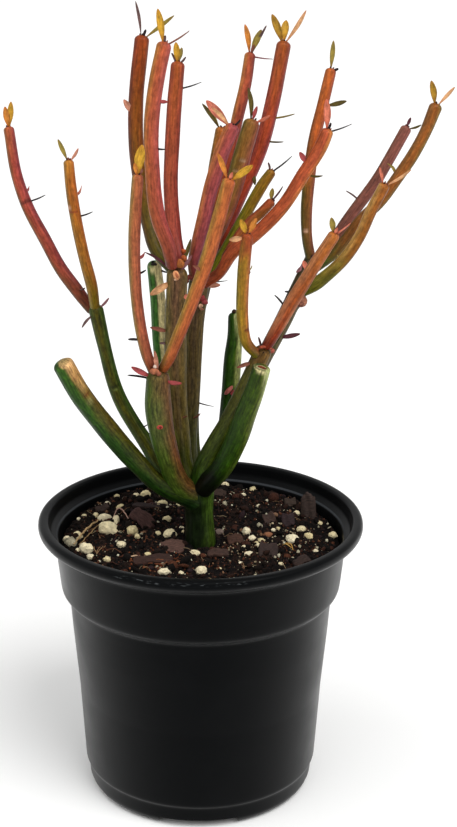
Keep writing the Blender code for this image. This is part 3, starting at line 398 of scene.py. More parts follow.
@dataclass(frozen=True)
class WaxySkin:
    """Skin of a succulent stem or leaf: waxy, with fine lengthwise lines, mottling and lenticels.

    It takes its colour from the piece's tint attribute, and its patterns run in the grain
    attribute, in millimetres across and along the stem. Scales are cells per millimetre; real
    lenticels are about a tenth of a millimetre, and are drawn at twice that so that they show.
    """

    name: str
    roughness: float = 0.42
    line_scale: float = 1.9
    stretch: float = 0.10
    line_contrast: float = 0.36
    mottle_scale: float = 1.25
    mottle_contrast: float = 0.30
    cloud_contrast: float = 0.10
    fleck_scale: float = 1.9
    fleck_share: float = 0.30
    fleck_light: float = 1.7
    bump: float = 0.00006

    def material(self) -> Material:
        """Return the finish as a material that reads the tint and grain attributes."""
        material, tree, shader = blank_material(self.name)
        colour = add_node(tree, "Attribute", {}, "Color", attribute_name="tint")
        grain = add_node(tree, "Attribute", {}, "Vector", attribute_name="grain")
        long_way, half_way = (
            add_node(tree, "Mapping", {0: grain, "Scale": (1.0, 1.0, share)})
            for share in (self.stretch, 0.55)
        )
        lines, mottle, cloud = (
            add_node(
                tree, "TexNoise",
                {"Vector": where, "Scale": scale, "Detail": detail, "Roughness": rough}, "Fac",
            )
            for where, scale, detail, rough in (
                (long_way, self.line_scale, 3.0, 0.55), (half_way, self.mottle_scale, 4.0, 0.65),
                (grain, 0.34, 3.0, 0.5),
            )
        )
        for pattern, contrast in (
            (lines, self.line_contrast), (mottle, self.mottle_contrast), (cloud, self.cloud_contrast)
        ):
            light = add_node(
                tree, "MapRange", {0: pattern, 1: 0.3, 2: 0.7, 3: 1.0 - contrast, 4: 1.0 + contrast}
            )
            colour = add_node(tree, "VectorMath", {0: colour, "Scale": light}, operation="SCALE")
        flecks = add_node(
            tree, "TexVoronoi", {"Vector": half_way, "Scale": self.fleck_scale}, "Distance"
        )
        dotted = add_node(
            tree, "MapRange", {0: flecks, 1: 0.08, 2: 0.20, 3: self.fleck_share, 4: 0.0},
            interpolation_type="SMOOTHSTEP",
        )
        pale = add_node(tree, "VectorMath", {0: colour, "Scale": self.fleck_light}, operation="SCALE")
        dull = {0: cloud, 1: 0.3, 2: 0.7, 3: self.roughness - 0.06, 4: self.roughness + 0.08}
        feed(tree, shader, {
            "Base Color": add_node(tree, "Mix", {0: dotted, 6: colour, 7: pale}, 2, data_type="RGBA"),
            "Roughness": add_node(tree, "MapRange", dull),
            "Normal": add_node(tree, "Bump", {"Height": lines, "Strength": 0.7, "Distance": self.bump}),
            "IOR": 1.45,
            "Specular IOR Level": 0.16,
        })
        return material


@dataclass(frozen=True)
class LooseMatter:
    """A loose part of the potting mix, such as peat, perlite, bark or fibre: dull and rough.

    It takes its colour from the tint attribute; scales are cells per millimetre of grain.
    """

    name: str
    roughness: float
    scale: float
    contrast: float
    bump: float
    stretch: float = 1.0
    specular: float = 0.25

    def material(self) -> Material:
        """Return the finish as a material that reads the tint and grain attributes."""
        material, tree, shader = blank_material(self.name)
        tint = add_node(tree, "Attribute", {}, "Color", attribute_name="tint")
        grain = add_node(tree, "Attribute", {}, "Vector", attribute_name="grain")
        drawn = add_node(tree, "Mapping", {0: grain, "Scale": (1.0, 1.0, self.stretch)})
        rough = add_node(
            tree, "TexNoise",
            {"Vector": drawn, "Scale": self.scale, "Detail": 6.0, "Roughness": 0.62}, "Fac",
        )
        low, high = 1.0 - self.contrast, 1.0 + self.contrast
        gain = add_node(tree, "MapRange", {0: rough, 1: 0.3, 2: 0.7, 3: low, 4: high})
        feed(tree, shader, {
            "Base Color": add_node(tree, "VectorMath", {0: tint, "Scale": gain}, operation="SCALE"),
            "Normal": add_node(tree, "Bump", {"Height": rough, "Strength": 0.9, "Distance": self.bump}),
            "Roughness": self.roughness,
            "Specular IOR Level": self.specular,
        })
        return material


@dataclass(frozen=True)
class StudioBoard:
    """Painted white board of the studio floor, with the faint tooth of its paint."""

    name: str = "white_studio_board"
    colour: str = "FDFDFC"
    tooth_scale: float = 220.0

    def material(self) -> Material:
        """Return the finish as a material that reads Object coordinates."""
        material, tree, shader = blank_material(self.name)
        here = add_node(tree, "TexCoord", {}, "Object")
        tooth = add_node(
            tree, "TexNoise", {"Vector": here, "Scale": self.tooth_scale, "Detail": 3.0}, "Fac"
        )
        feed(tree, shader, {
            "Base Color": paint(self.colour),
            "Roughness": 0.85,
            "Normal": add_node(tree, "Bump", {"Height": tooth, "Strength": 0.1, "Distance": 0.0001}),
        })
        return material


# The plant's tables


class Tone(Enum):
    """Colours of the small leaves."""

    AMBER = "BC7630"
    GOLD = "BC8E2C"
    STRAW = "887634"
    OLIVE = "54481E"
    OCHRE = "9A7424"
    PEACH = "C8966A"
    BLUSH = "BC8068"
    SALMON = "CC7862"
    CORAL = "C46E56"
    ROSE = "9A4444"
    CLAY = "7E4C3C"
    MAUVE = "8A5C60"
    PLUM = "562C34"
    DUSK = "5C4442"
    DARK = "261E20"


LeafRow = tuple[float, float, float, float, float, float, Tone]
BudRow = tuple[float, float, float, float, float, float, float, str]


@dataclass(frozen=True)
class Patch:
    """A mark on a stem: where along it, how long, its colour, which way it faces and its depth.

    at is a share of the stem's length. aim is the direction that the mark faces, and cover is the
    share of the half-turn that it takes up. depth is how far the skin sinks there. length and
    depth are millimetres.
    """

    at: float
    length: float
    colour: str
    aim: Point
    cover: float
    depth: float = 0.0


@dataclass(frozen=True)
class StemPlan:
    """A stem: rows of (x, y, z, radius) in millimetres from what it grows on, leaves and colours.

    Each stop gives a share of the length and the colours of the skin's left, middle and right;
    besides the skin's own tint, these hold painted shade on the left and painted light on the right.
    Each leaf gives a share of the length, how far its tip reaches from the stem's axis along X, Y
    and Z, its width, its turn in degrees and its tone. dome is the height of the rounded end as a
    share of its radius. ridges are the sideways places, as shares of the radius, of the low ribs
    that run along the stem, each drawn paler along its crest as a painted highlight.
    """

    rows: tuple[Row, ...]
    stops: tuple[Stop, ...]
    leaves: tuple[LeafRow, ...] = ()
    marks: tuple[Patch, ...] = ()
    dome: float = 0.95
    ridges: tuple[float, ...] = (-0.62, 0.55)

    def path(self) -> Array:
        """Return the stem's smooth path in metres."""
        return smooth_path(np.array(self.rows) * MM, RING_STEP)


@dataclass(frozen=True)
class ShootPlan(StemPlan):
    """A coloured shoot, with blunter ends: the branch that carries it, and its side shoot."""

    dome: float = 0.74
    grows_on: str = ""
    fork: StemPlan | None = None


TRUNK = StemPlan(rows=(
    (0, -6, 77.4, 5), (0, -6, 90.4, 4.9), (-0.4, -6, 98.4, 4.6), (-0.5, -6, 106.4, 5),
), stops=(
    (0, "040702 060C04 0C1606"), (0.45, "091104 0F1907 34460F"), (1, "0B1605 111D08 3C5614"),
))
BRANCHES: dict[str, StemPlan] = {
    "left": StemPlan(rows=(
        (-0.5, -6, 106, 3.2), (-13, -3, 114.5, 2.9), (-17.5, -1, 121, 2.6), (-27, 2, 137, 2.3),
        (-31.5, 3, 154, 2.2), (-33.7, 3, 165, 2.4),
    ), stops=(
        (0, "0E2D04 152D02 2D4A10"), (0.3, "1C3C14 3C3C03 304A1C"), (1, "2D3C13 3C3602 36481C"),
    ), leaves=(
        (1, 4.3, -1, 4.7, 0.9, 20, Tone.MAUVE), (1, -4.6, -3, -4.6, 0.9, 30, Tone.DUSK),
        (0.412, 4, -0.8, 2.6, 0.8, 70, Tone.DARK), (0.37, -2.3, 0.8, -1, 0.8, 70, Tone.DARK),
    ), marks=(
        Patch(0.639, 0.8, "2F3307", (0, -1, 0.2), 0.2, 0.06),
        Patch(0.647, 0.3, "222706", (0, -1, 0), 0.26),
        Patch(0.63, 0.35, "6C7739", (0.1, -1, 0.1), 0.07),
    )),
    "front": StemPlan(rows=(
        (-1, -7, 105, 3.2), (-6.4, -10.5, 110.9, 3.4), (-8.6, -12.5, 116, 3.5),
        (-10.4, -15, 123, 3.7), (-12.2, -17.4, 132, 4), (-13.1, -18.8, 141, 4.2),
        (-13.1, -19, 149, 3.7),
    ), stops=(
        (0, "183A08 273A06 423211"), (0.45, "334D13 3F4B16 6A3A22"), (0.8, "334B11 46481E 5C3C25"),
        (1, "354611 4F421E 5C3C24"),
    ), leaves=(
        (1, -8.1, -1.8, 4.6, 1.7, 0, Tone.ROSE), (1, -9.5, 0.4, 1.4, 0.8, 60, Tone.DARK),
        (1, 7.5, -2.6, -0.4, 1.4, 10, Tone.ROSE), (1, -0.8, -2.6, 10, 1.3, 0, Tone.BLUSH),
    ), ridges=(-0.42, -0.05, 0.3, 0.62)),
    "middle": StemPlan(rows=(
        (-1.6, -4.5, 105.5, 3), (-5.2, -4, 115, 2.8), (-6.4, -4, 124.2, 3), (-7.7, -4, 138.5, 3.3),
        (-8.1, -4, 156, 3.5), (-7.5, -4, 178.5, 3.3),
    ), stops=(
        (0, "133206 243A06 3C4A0A"), (0.4, "4A4716 4A3A1B 5B4C1B"), (1, "584C1D 5D412C 5F4C23"),
    ), leaves=(
        (0.992, -8.3, -3.4, -4.7, 2.2, 0, Tone.PEACH), (1, -9.9, -0.4, 8, 1, 50, Tone.PLUM),
        (0.748, -7.9, -2.6, 2.5, 1.3, 10, Tone.CLAY), (0.691, -5.1, -2, 1.5, 0.9, 40, Tone.DUSK),
        (1, 4.8, -3, 7.3, 1.1, 10, Tone.MAUVE), (1, 4.5, 2.6, 11.4, 1.3, 20, Tone.OLIVE),
        (0.358, 2.8, -4, 2.3, 0.8, 40, Tone.CLAY),
    ), ridges=(-0.66, -0.25, 0.22, 0.64)),
    "back": StemPlan(rows=(
        (-0.5, -3, 105, 2.8), (-3.8, 1.2, 114.5, 2.7), (-4.3, 4.2, 122.5, 2.9),
        (-3.7, 6, 133, 3.1), (-3.1, 7, 147, 3.2), (-2.4, 7.3, 160, 3.2), (-0.8, 8, 173.5, 3.4),
    ), stops=(
        (0, "0A2505 172D05 304008"), (0.5, "3A380D 403215 4F4118"), (1, "403C18 45321E 53411E"),
    ), leaves=(
        (0.992, 6.8, -4.6, 0.9, 1.8, 0, Tone.BLUSH), (1, 9.2, -1, 0.9, 0.8, 70, Tone.DARK),
        (0.941, 3.3, -4, -1.7, 2, 0, Tone.ROSE), (0.898, 2.3, -5, -0.4, 1.2, 30, Tone.BLUSH),
        (0.441, 7.8, -1.4, -1.7, 0.8, 70, Tone.DARK), (0.347, 3.9, -4.2, 3.6, 0.9, 30, Tone.CLAY),
        (0.305, -1.9, -5.2, -0.8, 0.9, 30, Tone.CLAY),
    ), ridges=(-0.66, -0.25, 0.22, 0.64)),
    "rear": StemPlan(rows=(
        (0, -3, 105, 2.8), (-2.8, 6.4, 116, 2.6), (-3.6, 13, 129, 2.6), (-3.3, 15.8, 143, 2.6),
        (-2.2, 17, 158, 2.6), (0.5, 17.6, 171, 2.7),
    ), stops=(
        (0, "071E03 0F2703 303C06"), (1, "36320D 403215 4B3C1A"),
    )),
    "right": StemPlan(rows=(
        (-0.8, -6.2, 106.5, 3), (1.4, -8.5, 117.2, 3.1), (5, -9.8, 124.5, 3.2),
        (8.4, -10.5, 130.8, 3.1), (13.6, -11.6, 141.8, 3.1), (19.4, -12.5, 155.8, 2.9),
    ), stops=(
        (0, "0E2C03 1E3B03 3C4D09"), (0.86, "3E3D10 444013 575510"), (1, "4A3510 593F1B 6B4D20"),
    ), leaves=(
        (0.956, -7, -2.6, -1.7, 1.2, 20, Tone.CLAY), (1, -1.2, -1.2, 5.8, 0.8, 40, Tone.DUSK),
    )),
    "far_right": StemPlan(rows=(
        (0, -4, 106, 2.6), (8.1, -2, 120.8, 2.4), (13.9, 1.2, 135.8, 2.4), (19.6, 3.2, 148.4, 2.6),
        (27.1, 5.2, 163.3, 2.7), (31.8, 6.4, 173.7, 2.6), (35.3, 7.2, 181.4, 2.4),
    ), stops=(
        (0, "0F1F06 1F2C07 40451A"), (0.5, "231F08 363111 514523"), (1, "38311F 453B25 605236"),
    ), leaves=(
        (1, -5, -2.2, -3.6, 1.2, 10, Tone.MAUVE), (0.786, -4.4, -0.8, 5.4, 0.8, 60, Tone.DARK),
        (0.857, -3.6, -1, 1, 0.8, 60, Tone.DARK), (0.664, 8.5, -2.4, 2.3, 1.5, 0, Tone.PLUM),
    )),
    "far_right_spur": StemPlan(rows=(
        (31.1, 5.6, 169.1, 2), (32.2, 3.4, 168.7, 1.8),
    ), stops=(
        (0, "3F371C 4E3F24 6C4E31"), (1, "6C3F2D 7F4E3D 8F5D44"),
    )),
    "stub_front_left": StemPlan(rows=(
        (-2, -8, 104.5, 3.1), (-12, -11.6, 110.3, 2.9), (-20.5, -15.5, 120.6, 3.2),
        (-30.1, -20, 134.5, 3.4), (-37.5, -24.5, 147.1, 3.3), (-41.5, -26, 155.5, 3.2),
    ), stops=(
        (0, "040702 0B2304 28340A"), (0.55, "092504 1C3706 433A0A"), (1, "193A07 29490C 5D3E1B"),
    ), marks=(
        Patch(1, 2.2, "BA9263", (0.45, -0.35, 0.82), 0.36),
        Patch(0.956, 3.2, "AB804C", (0.72, -0.4, 0.25), 0.24),
        Patch(1, 1.1, "221408", (-0.55, -0.6, 0.6), 0.15, 0.1),
        Patch(0.895, 2.6, "A5804C", (0.8, -0.42, 0), 0.17),
        Patch(0.842, 2.2, "7B652D", (0.85, -0.42, 0), 0.12),
        Patch(0.842, 0.7, "4E2408", (0.8, -0.6, 0), 0.13, 0.2),
        Patch(0.939, 0.5, "8A5D35", (0.6, -0.75, 0), 0.08),
        Patch(0.807, 0.9, "7B7544", (0.7, -0.7, 0), 0.09),
    ), dome=0.6, ridges=(-0.3, 0.02, 0.28, 0.52, 0.76)),
    "stub_back_left": StemPlan(rows=(
        (-1.5, -1, 105, 2.8), (-9.5, 8, 119.5, 2.7), (-13.5, 12, 150, 2.5), (-14.5, 13, 168, 2.5),
        (-15.5, 14, 177, 2.4),
    ), stops=(
        (0, "113C06 25510E 445110"), (1, "2E581B 335B1E 547028"),
    ), leaves=(
        (1, 4.5, -1, -1.6, 0.8, 40, Tone.DARK),
    ), marks=(
        Patch(0.859, 60, "BFB280", (1, -0.22, 0), 0.42),
        Patch(0.992, 1.2, "B4A979", (0.2, -0.4, 0.9), 0.42),
    )),
    "stub_back_right": StemPlan(rows=(
        (1, 0, 105, 2.7), (6.1, 10, 112, 2.8), (9.3, 15, 131.5, 2.9), (10.3, 16.8, 145.9, 2.9),
        (10.9, 17.6, 153.6, 2.5), (10.7, 18, 159, 2.1),
    ), stops=(
        (0, "142A03 253804 6F6116"), (0.5, "142F03 284606 5D611A"), (1, "142D03 284606 6F6922"),
    ), leaves=(
        (0.618, 1, -5.2, -1.3, 1.6, 0, Tone.ROSE),
    ), marks=(
        Patch(1, 4, "979A63", (0.9, -0.5, 0.3), 0.34),
        Patch(0.853, 12, "8A8F54", (1, -0.25, 0), 0.3),
    )),
    "stub_front_right": StemPlan(rows=(
        (1.2, -9.8, 109.2, 2.8), (3, -12, 112.2, 3.1), (6.8, -15, 118, 3.4), (11, -19, 128, 3.5),
        (14.7, -22.6, 140.2, 3.3), (17.4, -24.3, 148.7, 3), (19, -25, 154.7, 2.8),
    ), stops=(
        (0, "020301 030401 0A1801"), (0.14, "030501 061001 1D2E02"),
        (0.34, "132C02 1F3702 414F0D"), (1, "233904 2E3E04 5F6420"),
    ), marks=(
        Patch(1, 0.6, "ADA375", (0.5, -0.4, 0.8), 0.46),
        Patch(0.988, 3.5, "A5A972", (1, -0.55, 0), 0.2),
        Patch(0.895, 7, "869152", (1, -0.35, 0), 0.15),
    ), dome=0.45, ridges=(-0.8, -0.05, 0.62)),
}
SHOOTS: dict[str, ShootPlan] = {
    "shoot_far_left": ShootPlan(grows_on="left", rows=(
        (-35.6, 5, 165.2, 1.7), (-40, 6, 171, 2.1), (-45.1, 8, 177.5, 2.1), (-50.2, 9, 187, 2),
        (-55.8, 11, 197.5, 1.9), (-59, 13, 206.5, 1.8), (-61.4, 15.5, 220.8, 1.7),
    ), stops=(
        (0, "403012 4F2A14 4F1F1B"), (0.22, "4F3A19 883C29 722E32"), (0.8, "5E401B 994032 7D3238"),
        (1, "7D5029 994E2F 823638"),
    ), leaves=(
        (1, -0.9, -1.2, 7.6, 1.9, 0, Tone.AMBER), (1, 1, 0.4, 9, 1.9, 20, Tone.GOLD),
        (1, -0.1, 1.6, 6.7, 1.7, 0, Tone.STRAW), (0.629, 6.4, -0.6, 2.7, 0.8, 60, Tone.DARK),
        (0.114, 2.7, -3, 1.8, 0.8, 40, Tone.DUSK),
    ), marks=(
        Patch(0.629, 0.6, "4E1E17", (0.2, -1, 0), 0.32),
    )),
    "shoot_left": ShootPlan(grows_on="left", rows=(
        (-34.1, 2.4, 166.9, 1.6), (-34.5, -0.6, 173.1, 1.8), (-36.9, -5, 186.5, 1.8),
        (-38.6, -6, 196.5, 1.8), (-39.9, -7.5, 208, 1.7), (-40.3, -8, 214.5, 1.6),
    ), stops=(
        (0, "6B5D23 706214 70561A"), (0.25, "705623 8A5C15 915623"),
        (0.85, "705623 975417 9F5628"), (1, "7B5B25 A56B23 A5622B"),
    ), leaves=(
        (1, -3.2, 0.2, 7.3, 1.3, 0, Tone.STRAW), (1, 3.2, -0.6, 4.7, 1, 30, Tone.BLUSH),
        (0.651, 5.4, -0.8, 2, 0.8, 60, Tone.DARK),
    ), marks=(
        Patch(0.723, 0.6, "B48A75", (-0.8, -0.6, 0), 0.16, 0.1),
        Patch(0.699, 0.3, "6C1E17", (-0.3, -0.95, 0), 0.3),
    )),
    "shoot_tall_left": ShootPlan(grows_on="middle", rows=(
        (-9.6, -1, 179.9, 1.4), (-14.5, 2, 186, 2.1), (-16.5, 6, 192, 2.3), (-19, 10, 203, 2.4),
        (-21, 14, 218.5, 2.4), (-21, 16, 230, 2.4), (-19.1, 18, 248.8, 2.3),
    ), stops=(
        (0, "2F3008 3E3D09 453B07"), (0.3, "492711 574208 5A3D0F"), (0.6, "572714 73420F 733B14"),
        (1, "652914 863913 783518"),
    ), leaves=(
        (1, -1.8, 0.4, 12, 0.9, 10, Tone.DUSK), (1, 10.3, -1, 7.7, 1.2, 10, Tone.STRAW),
        (1, 1.4, -1.2, 3.5, 0.8, 0, Tone.DARK), (0.677, -3.6, -1.2, 6, 1.8, 0, Tone.BLUSH),
    )),
    "shoot_tall_middle": ShootPlan(grows_on="middle", rows=(
        (-8.9, -6, 182.9, 2.1), (-10, -9.8, 189.5, 2.2), (-12.7, -10.8, 197.5, 2.3),
        (-14.7, -10.5, 214, 2.3), (-14.9, -9, 226.5, 2.3), (-13.3, -7.8, 239.5, 2.3),
        (-11.2, -6.6, 249.3, 2.3),
    ), stops=(
        (0, "612C1D 803B2A 773632"), (0.2, "8D4B23 954730 95403E"), (1, "956423 9D4B2E 9D4B45"),
    ), leaves=(
        (1, -1.7, -0.8, 11.2, 2, 0, Tone.GOLD), (1, 7.8, 0.4, 4.8, 0.7, 60, Tone.CLAY),
        (1, 0.5, -0.4, 3.5, 0.8, 0, Tone.DUSK), (0.763, 4.3, -1.8, 0.2, 1.1, 0, Tone.ROSE),
        (0.561, 4.3, -1.4, -0.1, 0.8, 50, Tone.DARK),
    )),
    "shoot_tall_right": ShootPlan(grows_on="middle", rows=(
        (-6.2, -2, 182, 2), (-8.1, 1.2, 188.2, 2.2), (-9, 3.6, 194.5, 2.3),
        (-9.7, 5.5, 203.6, 2.3), (-9.2, 7, 220, 2.3), (-8.5, 8, 231.5, 2.3), (-7.6, 9, 241.9, 2.2),
    ), stops=(
        (0, "61241E 80312C 70292C"), (0.2, "7C3525 954332 80312C"), (1, "7C3523 954B20 823527"),
    ), leaves=(
        (1, -0.5, -0.6, 7.4, 1.9, 0, Tone.GOLD), (1, 1.4, 0.8, 5.7, 1.3, 10, Tone.STRAW),
        (1, -1.8, -0.6, 4.2, 0.8, 40, Tone.DUSK), (1, 2.6, -0.6, 3, 0.8, 40, Tone.DUSK),
        (0.883, 8.1, 0.6, 2.4, 0.8, 70, Tone.DARK),
    )),
    "shoot_front_left": ShootPlan(grows_on="front", rows=(
        (-14.7, -18.2, 152, 1.6), (-16.2, -21.4, 157.5, 1.7), (-17.8, -22.2, 165, 1.8),
        (-19, -23, 174.5, 1.8), (-19.6, -25, 190, 1.8), (-19, -26.8, 204, 1.8),
        (-18.2, -28, 213.8, 1.7),
    ), stops=(
        (0, "543920 763C23 602D20"), (0.2, "705F2A 934E32 7C392A"), (1, "765F2D 995532 813F2D"),
    ), leaves=(
        (1, 1.5, -0.4, 9.8, 2.7, 0, Tone.GOLD), (1, -0.8, -1.2, 4.6, 1.2, 0, Tone.AMBER),
        (1, 1.5, 1, 2.7, 1, 0, Tone.CLAY), (0.519, 3.4, -0.6, 1.9, 0.8, 40, Tone.DARK),
        (0.189, -4.6, -0.4, 0.3, 0.8, 30, Tone.DARK),
    )),
    "shoot_front_right": ShootPlan(grows_on="front", rows=(
        (-11.8, -18.2, 152, 1.6), (-9.5, -22.4, 157, 1.8), (-7, -24, 163.5, 1.9),
        (-3, -26.2, 174.2, 2), (2.5, -29, 190.5, 2.1), (5, -31, 200, 2.1), (8.5, -33, 213.6, 1.9),
    ), stops=(
        (0, "5F411B 7E3F1E 6C341B"), (0.2, "7E6725 A3552B 883D24"), (1, "8C6729 A95C2C 924628"),
    ), leaves=(
        (1, -3.2, -0.6, 8.6, 1.5, 0, Tone.AMBER), (1, 7, -0.8, 5.2, 2, 0, Tone.GOLD),
        (1, 1.1, -1.8, 3.3, 1, 0, Tone.CORAL), (0.562, -2.7, -4.4, 3.2, 1, 40, Tone.CLAY),
    )),
    "shoot_crown_slim": ShootPlan(grows_on="rear", rows=(
        (-0.8, 16.5, 173.6, 1.6), (-1.4, 14.6, 178.5, 1.7), (0.2, 13.8, 190, 1.9),
        (2.4, 14, 200, 1.9), (4, 14, 210.5, 1.9), (6, 14, 221.3, 1.9),
    ), stops=(
        (0, "5D4E1E 7B3F1E 63351E"), (1, "7B5D29 9E5722 7B4324"),
    ), leaves=(
        (1, -6, -0.6, 8.7, 1.3, 10, Tone.OLIVE), (1, -4, 0.6, 7, 0.9, 10, Tone.STRAW),
    )),
    "shoot_crown_front": ShootPlan(grows_on="back", rows=(
        (-2.1, 6, 175.8, 1.8), (-2.6, 4, 180.5, 1.8), (-1.2, 2, 187.5, 2.1), (1, 0.4, 197, 2.2),
        (3, -0.4, 206, 2.3), (4.8, -1, 212, 2.4), (6.8, -1.6, 218.5, 2.4), (9.3, -2.2, 224.5, 2.2),
    ), stops=(
        (0, "6C4424 6C2924 522029"), (0.25, "9A5D2F 8F3F3D 773541"), (1, "A56333 97433D 803D44"),
    ), leaves=(
        (1, -7.8, -0.8, 8.6, 2.6, 0, Tone.SALMON), (1, 2.7, -1, 3, 0.8, 40, Tone.DARK),
        (1, -6, -2.6, 6.8, 1.2, 20, Tone.PEACH),
    )),
    "shoot_back_slim": ShootPlan(grows_on="rear", rows=(
        (0.3, 19, 173.7, 1.6), (0.6, 21.8, 178.5, 1.7), (4.2, 22.8, 194, 1.9),
        (8.5, 25, 210.5, 1.9), (11.2, 28, 223.5, 1.9), (13.8, 31, 234.5, 1.9),
        (15, 33, 242.6, 1.8),
    ), stops=(
        (0, "4D3517 6B3121 512621"), (0.25, "8E5C2C 963F2C 7A3735"), (1, "97632E 9D4A2E 7E3C37"),
    ), leaves=(
        (1, -1.6, 0.4, 10.1, 1.7, 10, Tone.AMBER), (1, 3.7, 1, 8.4, 2, 0, Tone.STRAW),
        (1, 5.3, 1, 9.7, 0.8, 0, Tone.DUSK), (1, 7.6, -1, -0.8, 0.7, 70, Tone.MAUVE),
        (1, 1.4, -1.6, 3.9, 0.9, 0, Tone.CLAY),
    )),
    "shoot_back_tall": ShootPlan(grows_on="rear", rows=(
        (2.4, 17, 173.2, 1.7), (5.6, 16.8, 178.5, 1.8), (8.6, 18.8, 190.5, 2),
        (13, 20.3, 201, 2.1), (18.5, 22.5, 214, 2.3), (22.2, 24, 228.5, 2.4),
        (25.6, 26, 246.6, 2.3),
    ), stops=(
        (0, "582718 8A3223 5D2228"), (0.3, "7A3228 A13C23 7C2E32"), (0.66, "80362E 9D4021 803034"),
        (1, "7C3C23 8F481B 7C382A"),
    ), leaves=(
        (1, -3.8, -0.4, 9.9, 2.2, 0, Tone.OCHRE), (1, 0.9, 3.8, 7.9, 2.3, 0, Tone.GOLD),
        (1, 7.2, -0.6, 11.1, 1.4, 20, Tone.PEACH), (0.7, 8.4, -1.8, 2, 0.8, 50, Tone.STRAW),
        (0.608, 6.7, -1.8, 0.1, 0.8, 50, Tone.OLIVE), (0.485, 0.9, -3.4, -4.4, 1.2, 0, Tone.OLIVE),
    )),
    "shoot_crown_brown": ShootPlan(grows_on="back", rows=(
        (-0.1, 8.8, 176.8, 2), (1.1, 8.5, 182, 2), (6.2, 7, 193, 2.4), (9.8, 7, 203.5, 2.7),
        (12.5, 8, 214, 2.8), (15.4, 9, 224.1, 2.6),
    ), stops=(
        (0, "372F11 58351A 54221F"), (0.3, "544E1A 744E1F 763531"), (1, "5D521F 7E5423 803F33"),
    ), leaves=(
        (1, -0.9, -0.4, 11.6, 1.5, 20, Tone.OLIVE), (1, 1.8, -1, 5.9, 1.2, 0, Tone.ROSE),
        (1, 6, -2, 3.2, 1.2, 20, Tone.CORAL),
    ), marks=(
        Patch(0.774, 0.4, "B49779", (0.2, -1, 0), 0.08),
        Patch(0.702, 0.3, "B49779", (-0.3, -1, 0), 0.07),
    )),
    "shoot_green_yellow": ShootPlan(grows_on="back", rows=(
        (1.4, 11, 175, 1.7), (4.6, 11.6, 178.8, 1.7), (10.6, 11.2, 189, 1.8),
        (16.6, 11.8, 200, 1.8), (19.5, 12.2, 205, 1.8), (21.8, 12.6, 208.3, 1.6),
    ), stops=(
        (0, "3F4612 5D6312 4E4E14"), (0.3, "5D6C0F 706E0C 72631E"), (1, "75661E 8A5D17 845620"),
    ), leaves=(
        (1, 6.8, -0.6, 5.6, 0.8, 60, Tone.DARK), (1, -0.8, -1, 3.6, 0.8, 40, Tone.DUSK),
    )),
    "shoot_forked": ShootPlan(grows_on="back", rows=(
        (1.3, 6.6, 173.9, 1.9), (5, 4.2, 177, 1.8), (10.5, 0, 186, 2.1), (16, -1.2, 190.7, 2.1),
        (25.5, -3, 201, 2.1), (31.5, -4.8, 211.2, 2.1), (37, -6.6, 221, 2), (38.2, -7, 224.2, 1.9),
    ), stops=(
        (0, "612E1C 813822 612822"), (0.2, "863B1E 954522 9E582D"), (1, "924522 A54B2D B57636"),
    ), leaves=(
        (1, -0.4, -0.8, 10.3, 2, 0, Tone.CORAL), (1, 7.6, 0.2, 2.7, 0.8, 70, Tone.DARK),
        (1, 1.2, 0.2, 3.1, 0.8, 20, Tone.DARK), (0.815, -2.8, -1, 4.6, 1.6, 0, Tone.ROSE),
        (0.769, 6, -1, -0.3, 1, 40, Tone.OLIVE),
    ), marks=(
        Patch(0.769, 0.4, "6C2419", (0.7, -0.7, 0), 0.16),
    ), fork=ShootPlan(rows=(
        (8, 1.6, 183.5, 1.6), (11.5, 4.4, 189, 1.6), (15.5, 5.8, 193.8, 1.7), (19, 6.2, 197, 1.6),
        (21.8, 6.4, 200, 1.5),
    ), stops=(
        (0, "7B2F20 7B3F20 7B4E12"), (0.8, "7B3524 864E1E 7B521C"), (1, "8A3F24 8F4424 824424"),
    ), leaves=(
        (1, 0.6, -0.2, 4.7, 1.4, 0, Tone.STRAW), (1, 3.9, 1, 5.1, 0.8, 50, Tone.PLUM),
    ))),
    "shoot_inner_left": ShootPlan(grows_on="right", rows=(
        (17.3, -14.2, 156.4, 1.6), (14.4, -17.8, 161, 1.7), (13.1, -19, 169, 1.8),
        (13, -20, 178.5, 1.9), (13.5, -21, 188, 1.9), (14.2, -22, 195, 1.8),
    ), stops=(
        (0, "483F12 605810 603F1A"), (0.25, "6F651E 8D6916 9A582D"),
        (0.78, "71651E 8D6518 9A582D"), (0.9, "7E571E 904B1E 934721"), (1, "87441E 90411D 904223"),
    ), leaves=(
        (1, -2, -0.4, 5.6, 1.8, 0, Tone.GOLD), (1, 2.8, -0.2, 6, 1.6, 0, Tone.AMBER),
        (1, -5.4, -1.6, -0.4, 1.6, 0, Tone.PEACH), (0.735, 2.1, -0.8, -0.2, 1.2, 0, Tone.CLAY),
    ), marks=(
        Patch(0.265, 0.6, "4E1708", (0.75, -0.65, 0.2), 0.24, 0.12),
        Patch(0.294, 0.4, "6C3F1E", (0, -1, 0.3), 0.14),
    )),
    "shoot_inner_right": ShootPlan(grows_on="right", rows=(
        (21, -14.2, 159.1, 1.7), (24.5, -17.2, 166.6, 2), (28.7, -19.8, 175.5, 2.1),
        (31.8, -21.5, 181.4, 2.1), (34.8, -23.5, 187.3, 2), (39.9, -25.6, 196.4, 1.8),
    ), stops=(
        (0, "6C2615 6C2112 5F1B13"), (0.2, "9F6744 883713 996241"), (1, "9B6741 92531F 995A33"),
    ), leaves=(
        (1, -0.8, -0.4, 5.7, 1.7, 0, Tone.STRAW), (1, 5, -0.8, 4.2, 0.8, 60, Tone.CORAL),
        (1, 1, -1.8, 2.9, 0.9, 0, Tone.CORAL),
    )),
    "shoot_right_upright": ShootPlan(grows_on="far_right", rows=(
        (35.2, 6.6, 181.1, 1.6), (33.7, 6.2, 188, 1.7), (33.2, 6.5, 196, 1.8),
        (33.8, 7.4, 207, 1.9), (35, 8.3, 218.5, 1.9), (37.8, 9.8, 231, 1.8),
